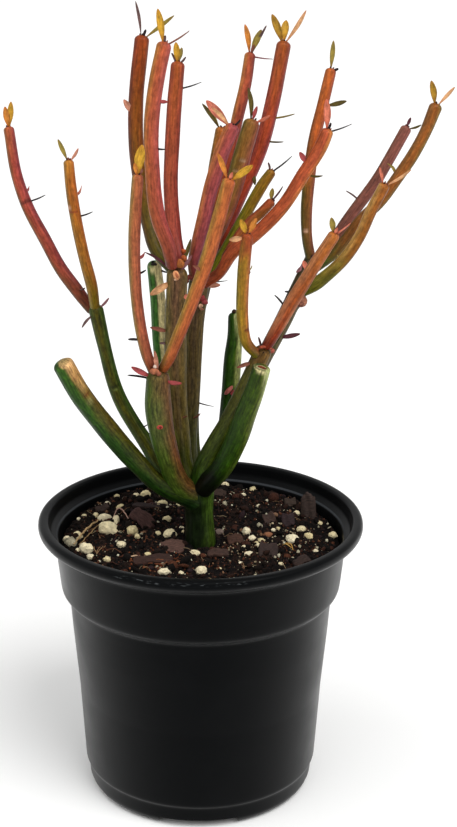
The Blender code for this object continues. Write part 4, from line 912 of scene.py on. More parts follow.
        (39.9, 11, 240.3, 1.7),
    ), stops=(
        (0, "3B4119 594119 6A3729"), (0.35, "55501F 7F501F 7D412F"),
        (0.62, "71411D A24E1F 7F3B26"), (1, "85481F AB5621 873F2B"),
    ), leaves=(
        (1, 0.8, 0.2, 9.6, 1.5, 10, Tone.STRAW), (1, 2.4, -0.8, 1.2, 0.8, 0, Tone.DARK),
        (0.82, 7.6, -0.6, 1.8, 1.5, 10, Tone.OLIVE),
    ), marks=(
        Patch(0.13, 0.45, "D1A588", (-0.2, -1, 0), 0.13, 0.1),
    )),
    "shoot_right_purple": ShootPlan(grows_on="far_right", rows=(
        (36.8, 9, 179.7, 1.8), (42, 13.5, 185, 1.8), (45.2, 15.8, 190, 1.8),
        (49.5, 18, 195.7, 1.9), (56.5, 20.8, 205, 1.9), (60.6, 22.2, 212, 1.8),
        (65.4, 24, 220.6, 1.8),
    ), stops=(
        (0, "373716 533E26 4E3028"), (0.25, "5E3E30 6D4035 6F4035"), (1, "6F4737 7B493E 79453E"),
    ), leaves=(
        (1, 1.5, -0.6, 4.1, 1, 0, Tone.PLUM), (1, 5.1, -0.6, 1.7, 0.9, 30, Tone.OLIVE),
        (0.489, -5.1, -1, 3.7, 0.7, 60, Tone.DUSK),
    )),
    "shoot_far_right": ShootPlan(grows_on="far_right_spur", rows=(
        (36.3, 7.8, 178.7, 1.8), (43.1, 9, 183.9, 1.8), (46.5, 9.8, 188.1, 1.8),
        (50.3, 10, 193.2, 1.9), (56.9, 10, 200.2, 1.9), (62.3, 10, 208.1, 1.9),
        (66.6, 10, 214.9, 1.9), (70.2, 10, 222.2, 1.9), (72.9, 10, 229.6, 2.1),
    ), stops=(
        (0, "2A3708 38440E 3B4114"), (0.2, "5B411A 6C4116 4F461B"), (0.45, "6C4A21 7F481A 5D5221"),
        (1, "704C25 874C1B 635725"),
    ), leaves=(
        (1, -1.7, -0.6, 8.5, 1.9, 0, Tone.OCHRE), (1, 5.8, -0.4, 6.6, 1.1, 0, Tone.PEACH),
    )),
    "shoot_right_short": ShootPlan(grows_on="far_right_spur", rows=(
        (32.2, 5.8, 171.2, 1.7), (34.3, 3.6, 172.9, 1.9), (36.4, 1.8, 174.8, 2.1),
        (39.7, -0.2, 178.1, 2), (44.9, -3, 184.2, 1.9), (49.1, -5.4, 191.5, 1.8),
        (52.5, -7.9, 200.7, 1.8), (55.8, -9.8, 208.3, 1.8),
    ), stops=(
        (0, "474F11 474C0D 474711"), (0.28, "796D29 5E5611 585213"), (0.5, "A47F44 845112 6F4515"),
        (1, "A47F46 985820 7D481D"),
    ), leaves=(
        (1, -1.5, -0.6, 6.2, 0.9, 0, Tone.CORAL), (1, 8.2, -1, 5.4, 1, 20, Tone.PEACH),
    )),
}

# Buds, scars and leaf bases on the knuckles and cut ends: centre, half sizes, roll and colour.
BUDS: tuple[BudRow, ...] = (
    (-13.79, -22.2, 154.3, 0.55, 0.5, 0.6, 0, "CAB4A5"),
    (-13.99, -22.2, 152.75, 1.5, 0.7, 1, 0, "975B3F"),
    (-12.7, -22.2, 152.05, 0.8, 0.6, 0.8, 30, "8A4E39"),
    (-12.45, -21.9, 134.61, 1.05, 0.4, 1, 0, "9E3F35"),
    (-12.25, -22.2, 134.45, 0.45, 0.28, 0.42, 20, "5D1E14"),
    (-13.32, -21.8, 135.43, 0.35, 0.3, 0.4, 0, "B46A5B"),
    (9.01, 11.8, 135.81, 0.75, 0.4, 2, -42, "A55B52"),
    (-6.42, -7, 183.28, 1.35, 1, 1.5, 12, "9E5D2D"),
    (-5.18, -6.6, 184.98, 0.8, 0.7, 1.1, 50, "9E5029"),
    (-5.47, -5, 186.71, 0.85, 0.8, 0.85, 30, "974420"),
    (-8.98, -6.6, 184.12, 0.9, 0.7, 0.8, -30, "7F2F29"),
    (-4.16, -5, 183.15, 0.7, 0.6, 0.9, 60, "8A3F29"),
    (-7.6, -7.4, 179.6, 1.05, 0.5, 1.65, 22, "C68A5F"),
    (-7.49, -7.8, 179.76, 0.42, 0.3, 1, 22, "9E5B3D"),
    (-7.85, -7.4, 178.25, 0.5, 0.4, 0.4, 0, "CA9E80"),
    (-2.47, 4.6, 178.8, 0.75, 0.7, 0.8, -20, "C38F80"),
    (-3.66, 4.6, 176.16, 1.1, 0.6, 0.9, 10, "6C2F29"),
    (-4.75, 4.6, 175.04, 0.8, 0.6, 1.2, -10, "5D2924"),
    (0.35, 3, 169.52, 0.75, 0.6, 1.1, -30, "7F2F2F"),
    (1.06, 3, 168.37, 0.9, 0.6, 0.8, 20, "8A3B3D"),
    (-0.21, 2.6, 167.14, 0.8, 0.5, 0.7, 35, "BB8F72"),
    (-15.51, 12.8, 178.25, 1.25, 1, 0.75, 0, "1E1712"),
    (-15.87, 12.8, 178.98, 0.6, 0.5, 0.5, 0, "0F0A08"),
    (10.56, 17.4, 161.39, 0.75, 0.6, 0.85, -20, "2F1E0F"),
    (18.96, -26.2, 155.41, 1.75, 1.2, 0.62, -16, "B4AB80"),
    (19.12, -27, 155.78, 1.45, 0.7, 0.34, -18, "5D2912"),
    (17.62, -15.2, 157.83, 0.9, 0.7, 0.5, 25, "7F3F24"),
    (19.46, -15.6, 158.93, 1.2, 0.7, 0.5, 8, "8A3F29"),
    (21.6, -15, 158.58, 0.9, 0.6, 0.6, -20, "974E39"),
    (22.63, -14.6, 157.37, 0.6, 0.6, 0.8, -30, "974C3F"),
    (19.74, -15.7, 157.21, 0.26, 0.3, 0.2, 0, "1E0605"),
    (36.84, 4.2, 183.9, 0.85, 0.8, 0.9, -20, "3F1E20"),
    (35.52, 4.2, 183.24, 0.8, 0.7, 0.6, 0, "331E19"),
    (14.7, -21.2, 184.18, 0.45, 0.4, 0.5, 0, "9E5D3F"),
)


# Stems


DOME_STEPS = 9
RING_STEP = 0.0006
LEAF_SLOT = 1

# A leaf starts at the smaller of these shares of the stem's radius and of its own reach.
HIDDEN_OF_STEM = 0.60
HIDDEN_OF_LEAF = 0.55

# Lumps: how often a ball is divided, by kind, and how much its colour changes over it.
SMALL_BALL = 1
BEAD_BALL = 2
ROUND_BALL = 3
PATCHY = 0.18


def smooth_path(given: Array, step: float) -> Array:
    """Return evenly spaced rows of (x, y, z, radius) on a smooth curve through the given rows.

    Each leg is a cubic Hermite curve; its slope at a row is the mean of the slopes of the legs
    on both sides, each weighted by the length of the other leg.

    Args:
        given: The rows that the curve passes through.
        step: Spacing of the returned rows along the straight legs.
    """
    stations = along_path(given)
    runs = np.diff(stations)
    slopes = np.diff(given, axis=0) / runs[:, None]
    before, after = runs[:-1, None], runs[1:, None]
    inner = (slopes[:-1] * after + slopes[1:] * before) / (before + after)
    tangents = np.concatenate([slopes[:1], inner, slopes[-1:]])
    places = np.linspace(0.0, stations[-1], max(2, round(stations[-1] / step) + 1))
    leg = np.clip(np.searchsorted(stations, places, side="right") - 1, 0, len(runs) - 1)
    length = runs[leg][:, None]
    u = ((places - stations[leg]) / runs[leg])[:, None]
    start = given[leg] * (2 * u**3 - 3 * u**2 + 1) + tangents[leg] * length * (u**3 - 2 * u**2 + u)
    end = given[leg + 1] * (3 * u**2 - 2 * u**3) + tangents[leg + 1] * length * (u**3 - u**2)
    return start + end


def along_path(path: Array) -> Array:
    """Return the distance of each row from the first one, along the path."""
    runs = np.linalg.norm(np.diff(path[:, :3], axis=0), axis=1)
    return np.concatenate([[0.0], np.cumsum(runs)])


def point_at(path: Array, share: float) -> Array:
    """Return the row of a path at a share of its length."""
    place = share * (len(path) - 1)
    low = min(int(place), len(path) - 2)
    return path[low] + (path[low + 1] - path[low]) * (place - low)


def clearance(points: Array, path: Array) -> Array:
    """Return how far points are outside a round tube: the distance to the nearest leg of its axis
    less the radius there, which changes evenly along the leg."""
    start, leg = path[:-1], np.diff(path, axis=0)
    from_start = points[:, None, :] - start[None, :, :3]
    length = np.maximum((leg[:, :3] ** 2).sum(axis=-1), 1e-12)
    share = np.clip((from_start * leg[:, :3]).sum(axis=-1) / length, 0.0, 1.0)
    apart = np.linalg.norm(from_start - share[..., None] * leg[:, :3], axis=-1)
    return (apart - start[:, 3] - share * leg[:, 3]).min(axis=1)


@dataclass(frozen=True)
class Stem:
    """A round stem of the plant, grown along a path in metres with the colours of its plan.

    name seeds its small unevenness. neighbours are the paths of the stems that it joins, and
    blend is how near their skins are when they begin to swell towards each other. foot is the
    number of rows that lie inside what it grows from; shares along the stem start after them.
    seam is the path of the stem that this one stands on; a thin dark line follows the join.
    """

    name: str
    plan: StemPlan
    path: Array
    neighbours: tuple[Array, ...] = ()
    foot: int = 0
    blend: float = 0.0005
    sides: int = 48
    seam: Array | None = None
    seam_width: float = 0.00032
    seam_share: float = 0.8
    seam_tone: str = "2A140C"
    ridge_width: float = 0.075
    ridge_height: float = 0.00006
    ridge_highlight: float = 0.42

    def surface(self) -> Surface:
        """Build the stem's skin.

        The rings stand square to the path. Past each end, the radius follows a power of the
        cosine of an angle and the distance its sine, which gives a blunt dome. Three waves round
        the stem make shallow ribs and two along it make it swell and shrink. Where another stem
        is near, the skin moves out by a quarter of the blend width times the square of how deep
        it is in the blend, as a smooth union does.
        """
        path = self.path
        ahead = unit(np.diff(path[:, :3], axis=0))
        axes = unit(np.concatenate([ahead[:1], ahead[:-1] + ahead[1:], ahead[-1:]]))
        tilt = np.linspace(0.0, math.radians(86), DOME_STEPS + 1)[1:]
        reach = self.plan.dome * np.sin(tilt)[:, None]
        low = path[0, :3] - axes[0] * reach[::-1] * path[0, 3]
        high = path[-1, :3] + axes[-1] * reach * path[-1, 3]
        round_off = np.cos(tilt) ** 0.85
        centres = np.concatenate([low, path[:, :3], high])
        axes = axes[np.clip(np.arange(len(centres)) - DOME_STEPS, 0, len(path) - 1)]
        radii = np.concatenate([path[0, 3] * round_off[::-1], path[:, 3], path[-1, 3] * round_off])
        lean = np.concatenate([-tilt[::-1], np.zeros(len(path)), tilt])
        run = along_path(centres)
        begin = run[DOME_STEPS + self.foot]
        length = run[-DOME_STEPS - 1] - begin
        back = unit(BACKWARDS - axes * (axes @ BACKWARDS)[:, None])
        side = np.cross(back, axes)
        turn = around(self.sides)
        round_way = turn[None, :, None]
        radial = side[:, None] * np.cos(round_way) + back[:, None] * np.sin(round_way)
        seed = sum(ord(letter) * 7**i for i, letter in enumerate(self.name)) % 2**31
        phase = np.random.default_rng(seed).uniform(0.0, 2 * math.pi, 6)
        mm = run[:, None] / MM
        ribs = (
            0.012 * np.cos(5 * turn + phase[0] + 0.03 * mm)
            + 0.008 * np.cos(9 * turn + phase[1] - 0.02 * mm)
            + 0.006 * np.cos(14 * turn + phase[2] + 0.05 * mm)
        )
        swell = 0.012 * np.sin(mm / 5.3 + phase[3]) + 0.007 * np.sin(mm / 2.1 + phase[4])
        waver = 0.05 * np.sin(mm / 3.4 + phase[0]) + 0.025 * np.sin(mm / 1.1 + phase[1])
        facing = np.cos(turn)[None, :] + waver
        ridge = np.zeros_like(facing)
        for place_across in self.plan.ridges:
            ridge += np.exp(-(((facing - place_across) / self.ridge_width) ** 2))
        ridge *= 0.6 + 0.4 * np.sin(mm / 4.1 + phase[2])
        level = np.cos(lean)[:, None]
        radius = radii[:, None] * (1.0 + ribs + swell) + self.ridge_height * ridge * level
        outward = radial * level[..., None] + axes[:, None] * np.sin(lean)[:, None, None]
        rings = centres[:, None] + radial * radius[..., None]
        share = (run - begin) / length
        sunk = np.zeros(radius.shape)
        for mark in self.plan.marks:
            sunk += self.mark_weight(mark, share, length, outward) * mark.depth * MM
        pushed = np.zeros(radius.shape)
        for other in self.neighbours:
            gap = np.maximum(clearance(rings.reshape(-1, 3), other).reshape(radius.shape), 0.0)
            deep = np.clip(1.0 - gap / self.blend, 0.0, 1.0)
            pushed = np.maximum(pushed, deep**2 * self.blend / 4)
        rings = rings + outward * (pushed - sunk)[..., None]
        colour = self.colours(share, length, outward, mm, turn, phase)
        # Painted highlight: the crests of the low ribs are drawn paler, as if they caught the light.
        lit = np.minimum(colour * 1.55 + 0.012, 1.0)
        colour = mixed(colour, lit, self.ridge_highlight * np.clip(ridge, 0.0, 1.0))
        if self.seam is not None:
            gap = clearance(rings.reshape(-1, 3), self.seam).reshape(radius.shape)
            joined = np.exp(-((np.maximum(gap, 0.0) / self.seam_width) ** 2))
            colour = mixed(colour, linear(self.seam_tone), self.seam_share * joined)
        thick = np.broadcast_to(radii[:, None] / MM, radius.shape)
        grain = np.stack([
            thick * np.cos(turn) + 17.0 * phase[5], thick * np.sin(turn),
            np.broadcast_to(mm, radius.shape),
        ], axis=-1)
        first = centres[0] - axes[0] * radii[0] * 0.02
        last = rings[-1].mean(axis=0) + axes[-1] * radii[-1] * 0.02
        return Surface.closed(rings, first, last, colour, grain)

    def mark_weight(self, mark: Patch, share: Array, length: float, outward: Array) -> Array:
        """Return how strongly a mark shows at each point: a bell along the stem, times a smooth
        step of how nearly the skin faces the mark's way.

        Args:
            mark: The mark.
            share: Share of the stem's length at each ring.
            length: The stem's length in metres.
            outward: Direction that the skin faces at each point.
        """
        bell = np.exp(-(((share - mark.at) * length / (mark.length * MM)) ** 2))[:, None]
        aim = np.array(mark.aim)
        if not aim.any():
            return np.broadcast_to(bell, outward.shape[:2])
        edge = math.cos(math.pi * mark.cover)
        return bell * ramp(edge - 0.12, edge + 0.12, outward @ unit(aim))

    def colours(
        self, share: Array, length: float, outward: Array, mm: Array, turn: Array, phase: Array
    ) -> Array:
        """Return the skin's colour at each ring and side.

        The stops give the colours along the stem at its left, middle and right; besides the skin's
        own tint, the side colours hold painted shade on the left and painted light on the right. They
        come in with a smooth step of how far the skin faces that way, slow waves along the stem shift
        the edges, and the marks lie on top.

        Args:
            share: Share of the stem's length at each ring.
            length: The stem's length in metres.
            outward: Direction that the skin faces at each point.
            mm: Distance along the stem at each ring, in millimetres.
            turn: Angle of each side.
            phase: The stem's random phases.
        """
        drift = (
            0.03 * np.sin(mm / 3.1 + 2 * turn + phase[1])
            + 0.02 * np.sin(mm / 1.3 - 3 * turn + phase[0])
        )
        shifted = share[:, None] + drift
        stations = [at for at, _ in self.plan.stops]
        shades = np.array([[linear(code) for code in codes.split()] for _, codes in self.plan.stops])
        left, middle, right = (
            np.stack([np.interp(shifted, stations, shades[:, i, k]) for k in range(3)], axis=-1)
            for i in range(3)
        )
        # Painted light and shade: skin turned to the right takes the lit right colours, and skin turned
        # to the left the shaded left ones.
        facing = outward @ RIGHTWARDS + 2.0 * drift
        colour = mixed(middle, left, 0.92 * ramp(0.0, 1.0, -facing))
        colour = mixed(colour, right, 0.92 * ramp(0.0, 1.0, facing))
        for mark in self.plan.marks:
            weight = self.mark_weight(mark, share, length, outward)
            colour = mixed(colour, linear(mark.colour), weight)
        return colour


@dataclass(frozen=True)
class LeafBlade:
    """A small pointed leaf as a closed lens of flesh, from inside the stem to its tip.

    root is where it starts, reach goes from there to its tip, and turn is in degrees. A leaf
    narrower than needle_width is a needle: rounder, and bent only by the share needle_limp.
    """

    root: Array
    reach: Array
    width: float
    turn: float
    tone: Tone
    arch: float = 0.06
    curl: float = 0.05
    half_depth: float = 0.00026
    needle_width: float = 0.00085
    needle_limp: float = 0.25
    cup: float = 0.32
    rings: int = 20
    sides: int = 14

    @classmethod
    def on_stem(cls, path: Array, leaf: LeafRow) -> "LeafBlade":
        """Return the blade of a leaf that starts just under the skin of the stem, so that its
        narrow stalk shows.

        Args:
            path: Rows of the stem.
            leaf: The leaf, whose reach is measured from the stem's axis.
        """
        at, x, y, z, width, turn, tone = leaf
        row, reach = point_at(path, at), np.array([x, y, z]) * MM
        length = float(np.linalg.norm(reach))
        hidden = reach / length * min(HIDDEN_OF_STEM * row[3], HIDDEN_OF_LEAF * length)
        return cls(row[:3] + hidden, reach - hidden, width * MM, turn, tone)

    def surface(self) -> Surface:
        """Build the leaf's skin.

        The half width is a thin stalk plus a power of the sine of a warped share of the length,
        so the leaf is widest past its middle and blunt at the tip. Its section is a flat lens
        whose edges lift with the square of the distance from the midrib. The whole leaf arches by
        a half sine, and its tip curls back with the cube of the share. A needle has nearly the
        same width all along.
        """
        length = np.linalg.norm(self.reach)
        along = self.reach / length
        across = np.cross(along, BACKWARDS)
        if np.linalg.norm(across) < 0.2:
            across = np.cross(along, RIGHTWARDS)
        across = unit(across)
        flat = unit(np.cross(along, across))
        turned = math.radians(self.turn)
        wide = across * math.cos(turned) + flat * math.sin(turned)
        thin = unit(np.cross(along, wide))
        share = np.linspace(0.0, 0.985, self.rings)[:, None]
        turn = around(self.sides)[None, :]
        arc = np.sin(math.pi * share)
        ones = np.ones_like(share * turn)
        if self.width < self.needle_width:
            limp, depth_share = self.needle_limp, 0.45
            blade = np.sin(math.pi * share**1.2) ** 0.30
        else:
            limp, depth_share = 1.0, 0.3
            blade = np.sin(math.pi * share**1.35) ** (0.9 - 0.35 * share)
        width = self.width / 2 * (0.22 * (1.0 - share) + blade)
        depth = min(self.half_depth, depth_share * self.width) * (1.15 - 0.8 * share) * ones
        lift = length * limp * (self.arch * arc - self.curl * share**3)
        bend = length * 0.02 * limp * arc * math.copysign(1.0, self.reach[0])
        x = width * np.cos(turn) + bend
        z = depth * np.sin(turn) + self.cup * width * np.cos(turn) ** 2 * arc + lift
        spine = self.root + self.reach * share[..., None]
        rings = spine + wide * x[..., None] + thin * z[..., None]
        tone = linear(self.tone.value)
        # Painted light and shade: one edge of the blade is drawn up to a fifth lighter and the other up
        # to a fifth darker.
        colour = tone * (1.0 + 0.20 * np.cos(turn + 0.6) * ones)[..., None]
        root_tone, tip_tone = tone * np.array([0.62, 0.40, 0.36]), tone * np.array([0.66, 0.48, 0.42])
        colour = mixed(colour, root_tone, 0.75 * ramp(0.42, 0.05, share) * ones)
        colour = mixed(colour, tip_tone, 0.75 * ramp(0.74, 1.0, share) * ones)
        midrib = np.exp(-((np.cos(turn) / 0.22) ** 2)) * ones
        colour = np.minimum(mixed(colour, tone * 1.35, 0.30 * midrib), 1.0)
        grain = np.stack([x / MM, z / MM, share * length / MM * ones], axis=-1)
        tip = self.root + self.reach - thin * self.curl * limp * length
        return Surface.closed(rings, self.root - along * 0.0001, tip, colour, grain, LEAF_SLOT)


def ball_points(divisions: int) -> tuple[Array, Index]:
    """Return the points and triangles of a unit ball of near-even triangles."""
    ball = bmesh.new()
    bmesh.ops.create_icosphere(ball, subdivisions=divisions, radius=1.0)
    points = np.array([vertex.co[:] for vertex in ball.verts])
    tris = np.array([[vertex.index for vertex in face.verts] for face in ball.faces])
    ball.free()
    return points, tris


def lumps(
    centres: Array, sizes: Array, axes: Array, colours: Array, rng: Random, divisions: int,
    uneven: float, finish: int = 0,
) -> Surface:
    """Scatter uneven lumps as one skin.

    Every point of a unit ball is moved in or out at random, scaled along three axes, turned so
    that its third axis lies along the given one, and moved to the lump's centre.

    Args:
        centres: Centre of each lump.
        sizes: Half sizes of each lump along its own three axes.
        axes: Direction of each lump's third axis.
        colours: Linear colour of each lump.
        rng: Source of the unevenness.
        divisions: How finely the ball is divided.
        uneven: Share of the radius that a point may move.
        finish: Number of the material slot.
    """
    ball, tris = ball_points(divisions)
    count = len(centres)
    wave = rng.normal(0.0, 1.0, (count, 4, 3))
    phase = rng.uniform(0.0, 2 * math.pi, (count, 4))
    bumps = np.cos(np.einsum("pk,cwk->cpw", ball * 2.4, wave) + phase[:, None]).mean(axis=-1)
    radius = 1.0 + uneven * (1.2 * bumps + 0.6 * rng.uniform(-1.0, 1.0, (count, len(ball))))
    shape = ball[None] * radius[..., None] * sizes[:, None]
    third = unit(axes)
    helper = np.where(np.abs(third[:, 2:3]) < 0.9, UP, RIGHTWARDS)
    first = unit(np.cross(helper, third))
    second = np.cross(third, first)
    angle = rng.uniform(0.0, 2 * math.pi, (count, 1))
    turned = first * np.cos(angle) + second * np.sin(angle)
    own_axes = np.stack([turned, np.cross(third, turned), third], axis=1)
    points = np.einsum("cpk,ckj->cpj", shape, own_axes) + centres[:, None]
    faces = (tris[None] + (np.arange(count) * len(ball))[:, None, None]).reshape(-1, 3)
    shade = 1.0 + PATCHY * rng.uniform(-1.0, 1.0, (count, len(ball), 1))
    colour = np.clip(colours[:, None] * shade, 0.0, 1.0).reshape(-1, 3)
    points = points.reshape(-1, 3)
    return Surface(points, NO_QUADS, faces, colour, points / MM, finish)


def bud_tip(path: Array, dome: float, tones: tuple[str, ...], rng: Random) -> Surface:
    """Return the small scales of the bud at the top of a stem's rounded end."""
    ahead = unit(path[-1, :3] - path[-2, :3])
    back = unit(BACKWARDS - ahead * (ahead @ BACKWARDS))
    side = np.cross(back, ahead)
    count = len(tones)
    turn = around(count) + rng.uniform(0.0, 2 * math.pi)
    radial = side * np.cos(turn)[:, None] + back * np.sin(turn)[:, None]
    radius = path[-1, 3]
    centres = path[-1, :3] + ahead * radius * dome * 0.90 + radial * radius * 0.30
    limits = ((0.00026, 0.00038), (0.00026, 0.00040), (0.0005, 0.0008))
    sizes = np.stack([rng.uniform(low, high, count) for low, high in limits], axis=-1)
    colours = np.array([linear(tone) for tone in tones])
    axes = ahead + 0.35 * radial
    return lumps(centres, sizes, axes, colours, rng, BEAD_BALL, 0.10, LEAF_SLOT)


@dataclass(frozen=True)
class GreenBody:
    """The trunk and its green branches and stubs, joined at the crown, with their buds."""

    trunk: StemPlan
    branches: dict[str, StemPlan]
    buds: tuple[BudRow, ...]
    crown_blend: float = 0.0025
    trunk_sides: int = 64

    def paths(self) -> dict[str, Array]:
        """Return the smooth path of the trunk and of each branch."""
        return {name: plan.path() for name, plan in self.plans().items()}

    def plans(self) -> dict[str, StemPlan]:
        """Return the plans of the trunk and of each branch."""
        return {"trunk": self.trunk, **self.branches}

    @staticmethod
    def bud_skin(row: BudRow) -> Surface:
        """Return a bud or scar as a smooth oval lump, half sunk in the skin.

        A unit ball swells and shrinks by slow waves of its own coordinates, takes the bud's three
        half sizes and is rolled about the line of sight; its upper side is lit a little more.

        Args:
            row: Centre and half sizes in millimetres, roll in degrees, and colour.
        """
        *lengths, roll, code = row
        at, half = np.array(lengths).reshape(2, 3) * MM
        ball, tris = ball_points(ROUND_BALL)
        seed = row[0] * 9.0
        swell = 1.0 + 0.07 * np.sin(3.1 * ball[:, 0] + seed) * np.cos(2.7 * ball[:, 2] - seed)
        points = (ball * swell[:, None] * half) @ spin(-math.radians(roll), 1) + at
        ripple = np.sin(9.0 * ball[:, :1] + 7.0 * ball[:, 2:3] + seed)
        shade = 1.0 + 0.22 * ball[:, 2:3] + 0.12 * ripple
        colour = np.clip(linear(code) * shade, 0.0, 1.0)
        return Surface(points, NO_QUADS, tris, colour, points / MM, LEAF_SLOT)

    def build(self, skin: Material, leaf: Material) -> None:
        """Build and place the green body.

        Args:
            skin: Material of the stems.
            leaf: Material of the leaves and buds.
        """
        paths = self.paths()
        skins = []
        for name, plan in self.plans().items():
            near = tuple(path[::3] for other, path in paths.items() if other != name)
            sides = self.trunk_sides if name == "trunk" else Stem.sides
            stem = Stem(name, plan, paths[name], near, blend=self.crown_blend, sides=sides)
            skins.append(stem.surface())
            skins += [LeafBlade.on_stem(paths[name], row).surface() for row in plan.leaves]
        skins += [self.bud_skin(row) for row in self.buds]
        piece = build_piece("green_trunk_and_branches", skins, [skin, leaf], 60.0)
        place(piece, "green_stem", "trunk_and_branches")


@dataclass(frozen=True)
class FireShoot:
    """One coloured shoot with its leaves, end bud and, on one of them, a side shoot."""

    node: str
    plan: ShootPlan
    tip_tones: tuple[str, ...] = ("5A2A22", "743A28", "3A1C18")
    back_leaf_tones: tuple[Tone, ...] = (Tone.CLAY, Tone.ROSE, Tone.STRAW, Tone.CORAL)

    def foot_rows(self, path: Array) -> int:
        """Return how many rows of the path lie inside the round end of the branch."""
        end = np.array(BRANCHES[self.plan.grows_on].rows[-1]) * MM
        return max(1, int((np.linalg.norm(path[:, :3] - end[:3], axis=1) < end[3]).sum()))

    def build(self, near: tuple[Array, ...], skin: Material, leaf: Material) -> None:
        """Build and place the shoot.

        Args:
            near: Paths of the branch that it grows on and of the other shoots there.
            skin: Material of the stem.
            leaf: Material of the leaves and bud scales.
        """
        rng = np.random.default_rng(sum(map(ord, self.node)))
        path = self.plan.path()
        count = self.foot_rows(path)
        skins = []
        stems = [(path, self.plan)]
        if self.plan.fork:
            fork = self.plan.fork.path()
            stems.append((fork, self.plan.fork))
            main_stem = path[::3]
            side = Stem(self.node + "_fork", self.plan.fork, fork, (main_stem,), seam=main_stem)
            skins.append(side.surface())
            near = (*near, fork[:20:3])
        skins.append(Stem(self.node, self.plan, path, near, count, seam=near[0]).surface())
        for stem, plan in stems:
            skins += [LeafBlade.on_stem(stem, row).surface() for row in plan.leaves]
            skins.append(bud_tip(stem, plan.dome, self.tip_tones, rng))
        skins.append(self.back_leaf(path[count:], rng))
        piece = build_piece(self.node.replace("shoot", "firestick"), skins, [skin, leaf], 60.0)
        place(piece, f"{self.node}_skin", self.node)

    def back_leaf(self, path: Array, rng: Random) -> Surface:
        """Return one more leaf on the far side of the stem, at a random place and angle."""
        row = point_at(path, rng.uniform(0.35, 0.8))
        angle = math.radians(rng.uniform(60.0, 120.0))
        length = rng.uniform(0.0040, 0.0056)
        rise = rng.uniform(0.2, 0.7)
        reach = unit(np.array([math.cos(angle), math.sin(angle), rise])) * (length + row[3]) / MM
        tone = self.back_leaf_tones[int(rng.integers(len(self.back_leaf_tones)))]
        leaf = (0.0, *reach, rng.uniform(1.0, 1.5), rng.uniform(0, 80), tone)
        return LeafBlade.on_stem(np.stack([row, row]), leaf).surface()


# The pot


# Radius and height of each corner of the pot's section, from its base up and down its inside.
POT_PROFILE: tuple[tuple[float, float], ...] = (
    (35, 0), (37.2, 0.7), (38.4, 2.4), (38.9, 7.8), (39.7, 8.8), (41.3, 36), (43.1, 56),
    (43.8, 65.5), (44.2, 69.8), (44.9, 70.6), (46, 71.3), (46.7, 72.4), (47, 74.5), (48.5, 89.2),
    (49, 90.1), (50.8, 90.8), (52.8, 91.9), (53.7, 92.9), (54, 94), (53.8, 95.3), (52.8, 96.1),
    (50.9, 96), (50.4, 95.3), (50, 92), (49.4, 91.4), (48, 90.9), (47.4, 89.8), (47, 84.5),
    (45.7, 74.5), (43.4, 70.8), (42.8, 69), (40, 36), (38.2, 9), (35, 3.8),
)


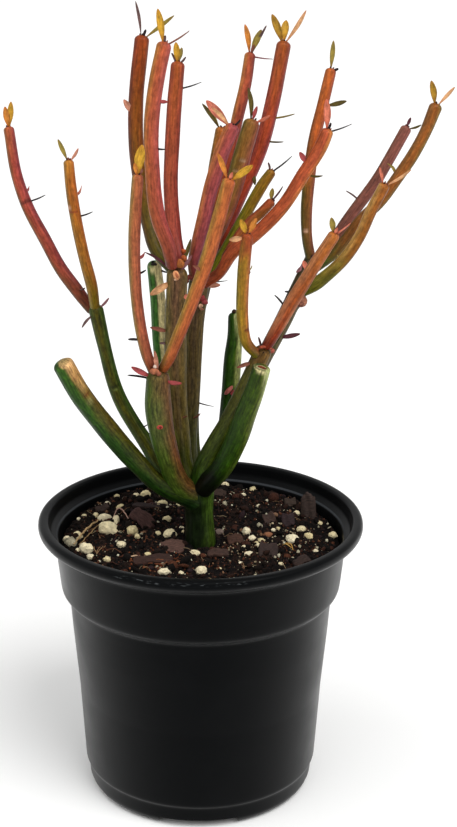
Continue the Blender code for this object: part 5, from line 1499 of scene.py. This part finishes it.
@dataclass(frozen=True)
class NurseryPot:
    """The thin-walled nursery pot: rolled lip, band, stepped shoulder, tapered body, drained base.

    channel is the start and end of a drain channel from the pot's axis, its width and its height.
    """

    profile: tuple[tuple[float, float], ...] = POT_PROFILE
    floor_top: float = 0.0038
    sides: int = 192
    corner: float = 0.0009
    corner_steps: int = 5
    wall_step: float = 0.0015
    drain_count: int = 4
    drain_turn: float = -math.pi / 2
    channel: Row = (0.0220, 0.0411, 0.0260, 0.0030)
    hole_radius: float = 0.0042
    hole_at: float = 0.0290
    hole_height: float = 0.0080
    hole_sides: int = 24
    crease: float = 35.0

    def outline(self) -> Array:
        """Return the profile with its corners rounded.

        A corner gives way to a quadratic curve from a point on the leg before it to a point on
        the leg after it, with the corner as its control point. Long legs get points between.
        """
        corners = np.array(self.profile) * MM
        before, here, after = corners[:-2], corners[1:-1], corners[2:]
        start, end = (
            (here + way * np.minimum(self.corner / np.linalg.norm(way, axis=1), 0.42)[:, None])[:, None]
            for way in (before - here, after - here)
        )
        t = np.linspace(0.0, 1.0, self.corner_steps)[None, :, None]
        rounded = start * (1 - t) ** 2 + here[:, None] * 2 * t * (1 - t) + end * t**2
        line = np.concatenate([corners[:1], rounded.reshape(-1, 2), corners[-1:]])
        run = along_path(line)
        extra = np.arange(self.wall_step, run[-1], self.wall_step)
        extra = extra[np.abs(extra[:, None] - run).min(axis=1) > self.wall_step * 0.4]
        places = np.sort(np.concatenate([run, extra]))
        return np.stack([np.interp(places, run, line[:, k]) for k in range(2)], axis=-1)

    def shell(self) -> Surface:
        """Return the pot before its drains are cut.

        The outline is turned about the vertical axis; the wall is out of round by a tenth of a
        millimetre in two and three slow waves, as a warm-pressed pot is.
        """
        outline = self.outline()
        turn = around(self.sides)
        out_of_round = 0.00008 * np.cos(2 * turn + 0.7) + 0.00005 * np.cos(3 * turn - 0.4)
        radius = outline[:, :1] + out_of_round * ramp(0.0, 0.03, outline[:, 1:])
        height = np.broadcast_to(outline[:, 1:], radius.shape)
        rings = np.stack([radius * np.cos(turn), radius * np.sin(turn), height], axis=-1)
        return Surface.closed(rings, np.zeros(3), UP * self.floor_top)

    def cutter(self, turned: float) -> list[Surface]:
        """Return the flat channel and the round hole of one drain, turned about the vertical."""
        inner, outer, width, height = self.channel
        across = np.array([-0.5, 0.5, 0.5, -0.5]) * width
        floor = np.array([-1.0, -1.0, 1.0, 1.0]) * height
        channel = [np.stack([np.full(4, x), across, floor], axis=-1) for x in (inner, outer)]
        turn = around(self.hole_sides)
        x, y = self.hole_at + self.hole_radius * np.cos(turn), self.hole_radius * np.sin(turn)
        levels = (-self.hole_height / 4, self.hole_height)
        hole = [np.stack([x, y, np.full(self.hole_sides, z)], axis=-1) for z in levels]
        made = []
        for rings in (np.stack(channel) @ spin(turned, 2), np.stack(hole) @ spin(turned, 2)):
            made.append(Surface.closed(rings, rings[0].mean(axis=0), rings[1].mean(axis=0)))
        return made

    def build(self, finish: Material) -> None:
        """Build, drain and place the pot.

        Args:
            finish: Material of the plastic.
        """
        pot = build_piece("nursery_pot", [self.shell()], [finish], self.crease)
        cuts = []
        for i in range(self.drain_count):
            for k, skin in enumerate(self.cutter(self.drain_turn + 2 * math.pi * i / self.drain_count)):
                cut = build_piece(f"drain_cutter_{i}_{k}", [skin], [finish])
                modifier = pot.modifiers.new(cut.name, "BOOLEAN")
                modifier.operation, modifier.solver, modifier.object = "DIFFERENCE", "EXACT", cut
                cuts.append(cut)
        whole = pot.evaluated_get(bpy.context.evaluated_depsgraph_get())
        drained = bpy.data.meshes.new_from_object(whole)
        pot.modifiers.clear()
        pot.data = drained
        drained.shade_smooth()
        drained.set_sharp_from_angle(angle=math.radians(self.crease))
        for cut in cuts:
            bpy.data.objects.remove(cut)
        place(pot, "black_plastic", "pot")


# The potting mix


ChipRow = tuple[float, float, float, float, float, float, float, float, str]

# Perlite: x, y, length and height of each grain.
PERLITE_GRAINS: tuple[Row, ...] = (
    (-33.2, 13.6, 4.6, 2.7), (-31, 2.4, 6.9, 3.8), (-28.8, 7.2, 2, 3.7), (-22.8, 0.3, 3.3, 4.4),
    (-20.9, -4.1, 2, 1.7), (-26.2, -7.4, 3, 2), (-41.2, -0.1, 3, 3.4), (-44.2, -2.8, 2.8, 2.7),
    (-37.5, -10.8, 4.6, 3.7), (-35.4, -16.4, 2.6, 2), (-30, -19.1, 2.3, 2),
    (-23.3, 32.5, 2.3, 2.4), (-20.1, 31, 3.3, 2.7), (-28.6, 24, 2.6, 1.4), (-36.4, 14.5, 1.6, 2),
    (-13.7, 21.3, 3.3, 2.7), (-11.5, 9.6, 2.6, 2.4), (-10.2, -2.9, 4.1, 3.2),
    (-14.2, -0.7, 2, 1.4), (-16.9, -15.6, 2, 1.1), (-1.7, -15.2, 3.6, 2), (-10.9, -26.9, 3.9, 2.2),
    (0.8, -28.4, 3.3, 2.7), (17.8, 40.5, 2, 2.7), (7.9, 42, 2.6, 1.7), (15.3, -1.1, 2.6, 3.1),
    (17, -4.9, 2.3, 2), (20.3, -4.5, 2.3, 2), (19.2, -9.5, 2, 1.4), (14.9, -11.4, 2.6, 1.4),
    (15.9, -16.5, 2.6, 1.4), (30.6, -3.7, 4.3, 3.7), (33.9, 3.7, 3, 2.4), (36.2, -0.3, 3, 2),
    (32.8, 18.2, 2, 1.7), (40.4, 11.6, 2, 1.4), (44.4, 3, 2.8, 2.7), (13.4, -21.2, 2, 1.1),
    (-40.1, -10.8, 1.6, 1.4), (-30.2, 31.9, 1.8, 1.4), (-27.3, 28, 1.6, 1.2),
    (-33.1, 25.6, 1.8, 1.4), (-40.4, 15.1, 1.6, 1.2), (-42.1, 13.2, 1.4, 1.2),
    (-8.1, 20.3, 1.6, 1.3), (-6.4, 3.4, 1.5, 1.2), (-5.7, -0.4, 1.4, 1.2), (-5.7, -27.8, 1.6, 1.2),
    (14.4, 32.2, 1.6, 1.4), (7.3, 21.8, 1.5, 1.2), (18.6, -6.6, 1.4, 1.1), (24.4, 2.7, 1.5, 1.2),
    (26, 3, 1.3, 1.1), (19.8, 22.4, 1.5, 1.2), (6.5, -25.6, 1.5, 1.1), (26.3, -19.7, 1.5, 1.1),
    (38, -10, 1.6, 1.2),
)

# Grains stained by the mix: x, y, length, height and colour.
STAINED_GRAINS: tuple[tuple[float, float, float, float, str], ...] = (
    (22.4, -0.6, 3, 2, "80543A"), (6.1, -1.3, 2.6, 2, "6E5E56"), (25.2, 15, 2, 1.4, "7A5A44"),
    (-18, 12, 1.8, 1.3, "8A6A50"),
)

# Bark: x, y, length, width, thickness, spin about its own normal, turn, lean and colour.
BARK_CHIPS: tuple[ChipRow, ...] = (
    (-19.7, 7.5, 9.6, 5, 1.8, -42, 0, 48, "3C2622"),
    (-9.2, -12.2, 8.4, 5.6, 2, 4, 4, 26, "4A332B"),
    (-15, -20.5, 13, 4.6, 1.4, 4, -2, 10, "301C15"),
    (29.5, 9.1, 4.6, 4.4, 1.8, 4, 0, 52, "2A1D1E"), (30.8, 26.2, 4.2, 3.2, 2, 3, 8, 34, "33271F"),
    (36.8, 18, 5.2, 9.6, 1.8, 12, -28, 72, "30241F"),
    (-16.8, 19.5, 15, 2.2, 1.2, 0, -10, 12, "241816"),
    (5.9, -15.2, 7.2, 3.4, 1.4, 3, 0, 14, "38261F"),
    (22.3, -14.5, 6.6, 5.6, 1.8, -12, 10, 40, "2E211D"),
    (23.1, 9.7, 4.2, 4, 2, 20, 0, 44, "3A2A24"), (11.5, -6.2, 5.4, 3.6, 1.6, 10, 4, 36, "3A241A"),
    (-34.5, 20.5, 5, 3, 1.4, 30, 0, 20, "2E201A"), (5, 33, 7, 4, 1.6, -20, 0, 24, "33241C"),
    (33, -19, 6, 3.4, 1.4, 35, 0, 22, "2C1F1A"),
)

# Loose fibres that the photograph shows: three plan points, radius, lift of the middle, colour.
FIBRES: tuple[ChipRow, ...] = (
    (-35.3, 11.8, -38.8, 2.4, -41.7, -7.6, 0.36, 0.6, "A88A60"),
    (-34.1, 9, -37.4, 0.4, -40.1, -7.8, 0.2, 0.3, "8A6E48"),
    (-30.1, 10.8, -28.8, 16.8, -23.8, 7.2, 0.2, 1.6, "A88474"),
    (27.7, -7.9, 29.4, -8.8, 30.5, -11.2, 0.22, 1.2, "A87E3A"),
    (27.2, -8.6, 28.7, -10, 30, -10.4, 0.16, 0.8, "BC9450"),
    (-24.3, -18.6, -19, -18.3, -13.5, -18.8, 0.34, 0.2, "B8987A"),
    (-19.8, -19.2, -12.2, -23.8, -4.3, -21.3, 0.16, 0.4, "6A3820"),
    (-18, -20.5, -11, -22.2, -6, -22.8, 0.14, 0.4, "7A4626"),
    (-22.5, -20.5, -17, -22.5, -12, -21.5, 0.15, 0.4, "683A22"),
    (-33.5, -15.7, -33.4, -12, -33.1, -8.3, 0.12, 0.5, "8A6A4A"),
    (-33.5, -15.7, -32.2, -12.2, -31.2, -8.8, 0.12, 0.5, "8A6A4A"),
    (-33.5, -15.7, -34.6, -12.4, -35, -9.2, 0.12, 0.5, "9A7A56"),
    (-24, 21.2, -16.5, 20.6, -9.5, 18.6, 0.14, 0.8, "4A3436"),
)

# Clusters of crumbs of one colour: x, y, spread, number and colour.
CRUMB_CLUSTERS: tuple[tuple[float, float, float, int, str], ...] = (
    (-15, -20.5, 4, 170, "6A3820"), (-30, 10, 5, 50, "48261A"), (12, 30, 6, 70, "3C2219"),
    (30, -12, 5, 60, "4C2A1C"), (-35, -12, 4, 50, "3E2218"), (4, -22, 4, 50, "56301E"),
    (14, -12, 6, 90, "8E7E64"), (26, 0, 5, 60, "9A8A70"), (-6, 14, 6, 60, "2E1F22"),
)


@dataclass(frozen=True)
class PottingMix:
    """Dark peat mix in the pot, with perlite, bark, crumbs and fibres on its rough top.

    Lengths here are metres; side is the radius and height of its side, from the bottom up.
    """

    edge: float = 0.0465
    level: float = 0.0874
    slope: float = 0.055
    crown: float = 0.0024
    wave: float = 0.0005
    side: tuple[tuple[float, float], ...] = (
        (0.0330, 0.0042), (0.0370, 0.0078), (0.0378, 0.0100), (0.0396, 0.0360), (0.0423, 0.0688),
        (0.0429, 0.0711), (0.0452, 0.0748), (0.0460, 0.0800),
    )
    rings: int = 150
    sectors: int = 420
    crumbs: int = 5600
    clods: int = 420
    small_perlite: int = 80
    specks: int = 240
    strands: int = 90
    crumb_tones: tuple[tuple[str, float], ...] = (
        ("0E0A08", 0.30), ("160F0B", 0.25), ("24150F", 0.18), ("361F17", 0.12), ("4C2C1E", 0.07),
        ("261A1C", 0.03), ("70523C", 0.03), ("A09880", 0.02),
    )
    strand_tones: tuple[str, ...] = ("4A281A", "6A5236", "2A1C14", "7E6C50", "56341F")

    def height(self, x: Array, y: Array) -> Array:
        """Return the height of the mix: a domed slope up to the back with slow waves, and three
        sizes of noise that make its clods and crumbs, the middle one folded into sharp creases."""
        dome = self.crown * np.maximum(0.0, 1.0 - (x * x + y * y) / self.edge**2)
        slow = self.wave * np.sin(210.0 * x + 1.0) * np.cos(180.0 * y - 0.6)
        coarse = 0.00070 * value_noise(x, y, 0.0042, 3)
        middle = 0.00060 * (0.6 - 2.0 * np.abs(value_noise(x, y, 0.0021, 5)))
        fine = 0.00032 * value_noise(x, y, 0.0008, 8)
        return self.level + self.slope * y + dome + slow + coarse + middle + fine

    def on_top(self, x: Array, y: Array, lift: Array) -> Array:
        """Return places on the mix, raised by a lift of their own."""
        return np.stack([x, y, self.height(x, y) + lift], axis=-1)

    def bed(self) -> Surface:
        """Return the plug of mix: a polar height field, and the side that follows the pot."""
        turn = around(self.sectors)
        out = np.linspace(self.edge, 0.0006, self.rings)[:, None]
        top = self.on_top(
            out * np.cos(turn), out * np.sin(turn), -0.0012 * ramp(self.edge - 0.0022, self.edge, out)
        )
        radius, level = np.array(self.side).T[..., None]
        level = np.broadcast_to(level, (len(level), self.sectors))
        wall = np.stack([radius * np.cos(turn), radius * np.sin(turn), level], axis=-1)
        rings = np.concatenate([wall, top])
        skin = Surface.closed(rings, UP * self.side[0][1], top[-1].mean(axis=0))
        x, y = skin.points[:, 0], skin.points[:, 1]
        bright = value_noise(x, y, 0.0013, 12) + 0.5 * value_noise(x, y, 0.0005, 14)
        skin.colour = mixed(linear("0A0706"), linear("2A1B14"), ramp(-0.1, 1.3, bright))
        return skin

    def scattered(self, count: int, rng: Random, edge: float) -> tuple[Array, Array]:
        """Return random plan places, even over the disc and off the trunk."""
        turn = rng.uniform(0.0, 2 * math.pi, count)
        out = edge * np.sqrt(rng.uniform(0.0, 1.0, count))
        x, y = out * np.cos(turn), out * np.sin(turn)
        clear = np.hypot(x, y + 0.006) > 0.0062
        return x[clear], y[clear]

    def pick_tones(self, count: int, rng: Random) -> Array:
        """Return a random crumb colour for each lump."""
        shares = np.array([share for _, share in self.crumb_tones])
        shades = np.array([linear(tone) for tone, _ in self.crumb_tones])
        return shades[rng.choice(len(shades), count, p=shares / shares.sum())]

    def crumb_skins(self, rng: Random) -> list[Surface]:
        """Return the fine crumbs, the larger clods of peat and the clusters, resting on the bed."""
        skins = []
        edge = self.edge - 0.0015
        for count, low, spread in ((self.crumbs, 0.00018, 0.00042), (self.clods, 0.0006, 0.0010)):
            x, y = self.scattered(count, rng, edge)
            half = low + spread * rng.uniform(0.0, 1.0, len(x)) ** 2.4
            sizes = half[:, None] * rng.uniform(0.45, 1.55, (len(x), 3))
            axes = rng.normal(0.0, 1.0, (len(x), 3))
            tones = self.pick_tones(len(x), rng)
            centres = self.on_top(x, y, 0.25 * half)
            skins.append(lumps(centres, sizes, axes, tones, rng, SMALL_BALL, 0.3))
        for at_x, at_y, spread, count, code in CRUMB_CLUSTERS:
            x, y = (at * MM + rng.normal(0.0, spread * MM, count) for at in (at_x, at_y))
            inside = np.hypot(x, y) < edge
            x, y = x[inside], y[inside]
            half = rng.uniform(0.00015, 0.00042, len(x))
            sizes = half[:, None] * rng.uniform(0.5, 1.5, (len(x), 3))
            tones = linear(code) * rng.uniform(0.6, 1.3, (len(x), 1))
            centres, axes = self.on_top(x, y, 0.5 * half), rng.normal(0.0, 1.0, (len(x), 3))
            skins.append(lumps(centres, sizes, axes, tones, rng, SMALL_BALL, 0.3))
        return skins

    def perlite_skins(self, rng: Random) -> list[Surface]:
        """Return the perlite: the grains that the photograph shows, and finer ones between."""
        stained = [row[:4] for row in STAINED_GRAINS]
        x, y, long, high = np.array([*PERLITE_GRAINS, *stained]).T * MM
        sizes = 1.12 * np.stack([high / 2, 0.85 * (long + high) / 4, long / 2], axis=-1)
        flat = rng.normal(0.0, 0.2, len(x))
        axes = np.stack([np.cos(flat), np.sin(flat), rng.normal(0.0, 0.12, len(x))], axis=-1)
        tones = mixed(linear("CABA8C"), linear("E4D8B8"), rng.uniform(0.0, 1.0, len(x)))
        tones[len(PERLITE_GRAINS):] = [linear(row[4]) for row in STAINED_GRAINS]
        centres = self.on_top(x, y, 0.13 * high)
        skins = [lumps(centres, sizes, axes, tones, rng, ROUND_BALL, 0.15)]
        for count, low, high in ((self.small_perlite, 0.00025, 0.0006), (self.specks, 0.00008, 0.00020)):
            x, y = self.scattered(count, rng, self.edge - 0.002)
            half = rng.uniform(low, high, len(x))
            sizes = half[:, None] * rng.uniform(0.6, 1.4, (len(x), 3))
            tones = mixed(linear("8A8268"), linear("C4BEA4"), rng.uniform(0.0, 1.0, len(x)))
            centres, axes = self.on_top(x, y, 0.6 * half), rng.normal(0.0, 1.0, (len(x), 3))
            skins.append(lumps(centres, sizes, axes, tones, rng, SMALL_BALL, 0.2))
        return skins

    def chip_skin(self, row: ChipRow, rng: Random) -> Surface:
        """Return one bark chip.

        Sections across the chip are squarish oblongs, whose width falls to nothing at both ends
        by a tenth power and whose edges wander in steps, and it is bent a little along its
        length. It is spun about its normal, leaned about the X axis and turned about the
        vertical.

        Args:
            row: Place, sizes, angles and colour of the chip.
            rng: Source of its raggedness.
        """
        x, y, length, width, thick = np.array(row[:5]) * MM
        spun, turned, lean = np.radians(row[5:8])
        shade = linear(row[8])
        share = np.linspace(-0.985, 0.985, 26)[:, None]
        turn = around(28)[None, :]
        full = (1.0 - np.abs(share) ** 10) ** 0.4
        phase = rng.uniform(0.0, 2 * math.pi, 4)
        which_side = np.sign(np.cos(turn))
        ragged = (
            1.0 + 0.14 * np.sin(4 * share + phase[0] + which_side)
            + 0.05 * np.sin(13 * share + phase[1] + 2 * which_side)
        )
        across = width / 2 * full * ragged * which_side * np.abs(np.cos(turn)) ** 0.35
        up = thick / 2 * full * np.sign(np.sin(turn)) * np.abs(np.sin(turn)) ** 0.40
        up = up * (1.0 + 0.16 * np.sin(6 * share + 3 * np.cos(turn) + phase[2]))
        up = up + 0.00030 * np.cos(2 * share + phase[3])
        local = np.stack([share * length / 2 * np.ones_like(turn), across, up], axis=-1)[::-1]
        rings = local @ spin(spun, 2) @ spin(lean, 0) @ spin(turned, 2)
        rings = rings + self.on_top(x, y, 0.25 * (thick + width * math.sin(lean)))
        edge_light = 0.4 * np.abs(np.cos(turn)) ** 3 * np.ones_like(share)
        colour = mixed(shade, np.minimum(shade * 1.8, 1.0), edge_light)
        grain = local[..., [1, 2, 0]] / MM + phase[0] * 9
        first, last = rings[0].mean(axis=0), rings[-1].mean(axis=0)
        return Surface.closed(rings, first, last, colour, grain)

    def strand_skin(self, plan: Array, radius: float, code: str, lift: float) -> Surface:
        """Return a thin fibre that lies on the mix: a round tube along a smooth plan curve, with
        its middle raised by a half sine.

        Args:
            plan: Three places that it passes over.
            radius: Its greatest radius.
            code: Its colour.
            lift: How far its middle is raised.
        """
        given = np.array([(x, y, 0.0, radius) for x, y in plan])
        rows = smooth_path(given, 0.0005)
        arc = np.sin(math.pi * np.linspace(0.0, 1.0, len(rows)))
        below = self.height(rows[:, 0], rows[:, 1])
        rows[:, 2] = below * 0.5 + 0.5 * below.mean() + radius + 0.0004 + lift * arc
        rows[:, 3] *= 0.55 + 0.45 * arc**0.5
        one_colour = f"{code} {code} {code}"
        look = StemPlan((), ((0.0, one_colour), (1.0, one_colour)), ridges=())
        return Stem(f"strand{plan[0][0]:.4f}", look, rows, sides=8).surface()

    def strand_skins(self, rng: Random) -> list[Surface]:
        """Return the fibres that the photograph shows and a scatter of finer ones."""
        skins = []
        for *lengths, code in FIBRES:
            numbers = np.array(lengths) * MM
            plan, radius, lift = numbers[:6].reshape(3, 2), numbers[6], numbers[7]
            skins.append(self.strand_skin(plan, radius, code, lift))
        x, y = self.scattered(self.strands, rng, self.edge - 0.006)
        for place_x, place_y in zip(x, y):
            heading, bend = rng.uniform(0.0, 2 * math.pi), rng.normal(0.0, 0.9)
            reach = rng.uniform(0.0010, 0.0026)
            ways = heading + bend * np.array([-1.0, 0.0, 1.0])
            steps = np.cumsum(np.stack([np.cos(ways), np.sin(ways)], axis=-1), axis=0) * reach
            plan = np.array([place_x, place_y]) + steps
            plan *= np.minimum(1.0, (self.edge - 0.002) / np.hypot(plan[:, 0], plan[:, 1]))[:, None]
            code = self.strand_tones[int(rng.integers(len(self.strand_tones)))]
            radius, lift = rng.uniform(0.00006, 0.00014), rng.uniform(0.0, 0.0006)
            skins.append(self.strand_skin(plan, radius, code, lift))
        return skins

    def build(self) -> None:
        """Build and place the bed, crumbs, perlite, bark and fibres.

        Peat is nearly black and takes no sheen, so its crumbs show by their shadows. Expanded
        perlite is chalky and pitted. Pine bark has a long coarse grain and a dull sheen, and coir
        is a fine, faintly shiny thread.
        """
        rng = np.random.default_rng(7)
        peat = LooseMatter("peat", 0.93, 1.8, 0.60, 0.00030, specular=0.12).material()
        perlite = LooseMatter("expanded_perlite", 0.9, 1.7, 0.20, 0.00022).material()
        bark = LooseMatter("pine_bark", 0.8, 2.4, 0.55, 0.00025, stretch=0.22).material()
        fibre = LooseMatter("coir_fibre", 0.7, 3.0, 0.3, 0.00005, stretch=0.2).material()
        place(build_piece("peat_bed", [self.bed()], [peat], 40.0), "peat_mix", "potting_mix")
        place(build_piece("peat_crumbs", self.crumb_skins(rng), [peat]), "peat_mix")
        place(build_piece("perlite_grains", self.perlite_skins(rng), [perlite], 28.0), "peat_mix")
        chips = [self.chip_skin(row, rng) for row in BARK_CHIPS]
        place(build_piece("bark_chips", chips, [bark], 40.0), "peat_mix")
        place(build_piece("loose_fibres", self.strand_skins(rng), [fibre], 60.0), "peat_mix")


# The studio


@dataclass(frozen=True)
class Studio:
    """A plain white studio: floor board, soft light from above on both sides, and the camera."""

    floor_half: float = 14.0
    floor_thick: float = 0.01
    floor_sides: int = 48
    world_colour: str = "FFFFFF"
    world_strength: float = 0.50
    key_energy: float = 2.05
    key_spread: float = 40.0
    fill_energy: float = 1.10
    fill_spread: float = 80.0
    camera_at: Point = (0.0090, -0.49447, 0.29897)
    pitch: float = 18.69
    roll: float = 0.44
    lens: float = 69.65
    sensor: float = 36.0

    def build(self) -> None:
        """Build the floor, the lights, the world and the camera."""
        self.build_floor()
        self.add_sun("key_light", self.key_energy, self.key_spread, 38, 40)
        self.add_sun("fill_light", self.fill_energy, self.fill_spread, 48, -52)
        world = bpy.data.worlds.new("studio_white")
        world.use_nodes = True
        sky = world.node_tree.nodes["Background"]
        sky.inputs["Color"].default_value = paint(self.world_colour)
        sky.inputs["Strength"].default_value = self.world_strength
        bpy.context.scene.world = world
        bpy.context.scene.view_settings.view_transform = "Standard"
        self.add_camera()

    def build_floor(self) -> None:
        """Build the floor board, whose top is at z = 0."""
        turn = around(self.floor_sides)
        disc = np.stack([np.cos(turn), np.sin(turn), np.zeros_like(turn)], axis=-1) * self.floor_half
        under = UP * self.floor_thick
        skin = Surface.closed(np.stack([disc - under, disc]), -under, np.zeros(3))
        build_piece("floor_board", [skin], [StudioBoard().material()])

    def add_sun(self, name: str, energy: float, spread: float, tilt: float, heading: float) -> None:
        """Add a very soft, even light from one direction.

        Args:
            name: Name of the light.
            energy: Light on a surface that faces it, in watts per square metre.
            spread: How wide the light looks from the object, in degrees.
            tilt: Turn about the X axis, in degrees; without one the light shines straight down.
            heading: Turn about the vertical, in degrees.
        """
        sun = bpy.data.lights.new(name, "SUN")
        sun.energy = energy
        sun.angle = math.radians(spread)
        lamp = bpy.data.objects.new(name, sun)
        lamp.rotation_euler = (math.radians(tilt), 0.0, math.radians(heading))
        bpy.context.scene.collection.objects.link(lamp)

    def add_camera(self) -> None:
        """Add the camera at the photograph's place, with its pitch and slight roll."""
        pitch, roll = math.radians(self.pitch), math.radians(self.roll)
        ahead = np.array([0.0, math.cos(pitch), -math.sin(pitch)])
        above = np.array([0.0, math.sin(pitch), math.cos(pitch)])
        right = math.cos(roll) * RIGHTWARDS + math.sin(roll) * above
        above = -math.sin(roll) * RIGHTWARDS + math.cos(roll) * above
        turned = Matrix(np.stack([right, above, -ahead], axis=1).tolist()).to_4x4()
        lens = bpy.data.cameras.new("studio_camera")
        lens.lens, lens.sensor_width, lens.sensor_fit = self.lens, self.sensor, "AUTO"
        lens.clip_start, lens.clip_end = 0.01, 100.0
        camera = bpy.data.objects.new("studio_camera", lens)
        camera.matrix_world = Matrix.Translation(self.camera_at) @ turned
        bpy.context.scene.collection.objects.link(camera)
        bpy.context.scene.camera = camera


def build_plant() -> None:
    """Build the green body and the shoots.

    The old green skin is blotched and flecked more strongly than the young coloured one, and the
    leaves are duller, with few flecks and a flatter surface.
    """
    skin = WaxySkin("waxy_stem_skin").material()
    green = WaxySkin(
        "waxy_green_skin", line_contrast=0.55, mottle_contrast=0.46, fleck_share=0.42
    ).material()
    leaf = WaxySkin(
        "fleshy_leaf", roughness=0.5, line_scale=2.0, fleck_share=0.1, bump=0.00004
    ).material()
    body = GreenBody(TRUNK, BRANCHES, BUDS)
    body.build(green, leaf)
    branches = body.paths()
    paths = {name: plan.path() for name, plan in SHOOTS.items()}
    for name, plan in SHOOTS.items():
        beside = [
            paths[other][:30:3] for other, shoot in SHOOTS.items()
            if other != name and shoot.grows_on == plan.grows_on
        ]
        FireShoot(name, plan).build((branches[plan.grows_on][::3], *beside), skin, leaf)


def main() -> None:
    """Build the pot, the mix, the plant and the studio."""
    logging.basicConfig(level=logging.INFO, format="%(message)s")
    Studio().build()
    NurseryPot().build(MouldedPlastic().material())
    PottingMix().build()
    build_plant()


if __name__ == "__main__":
    main()
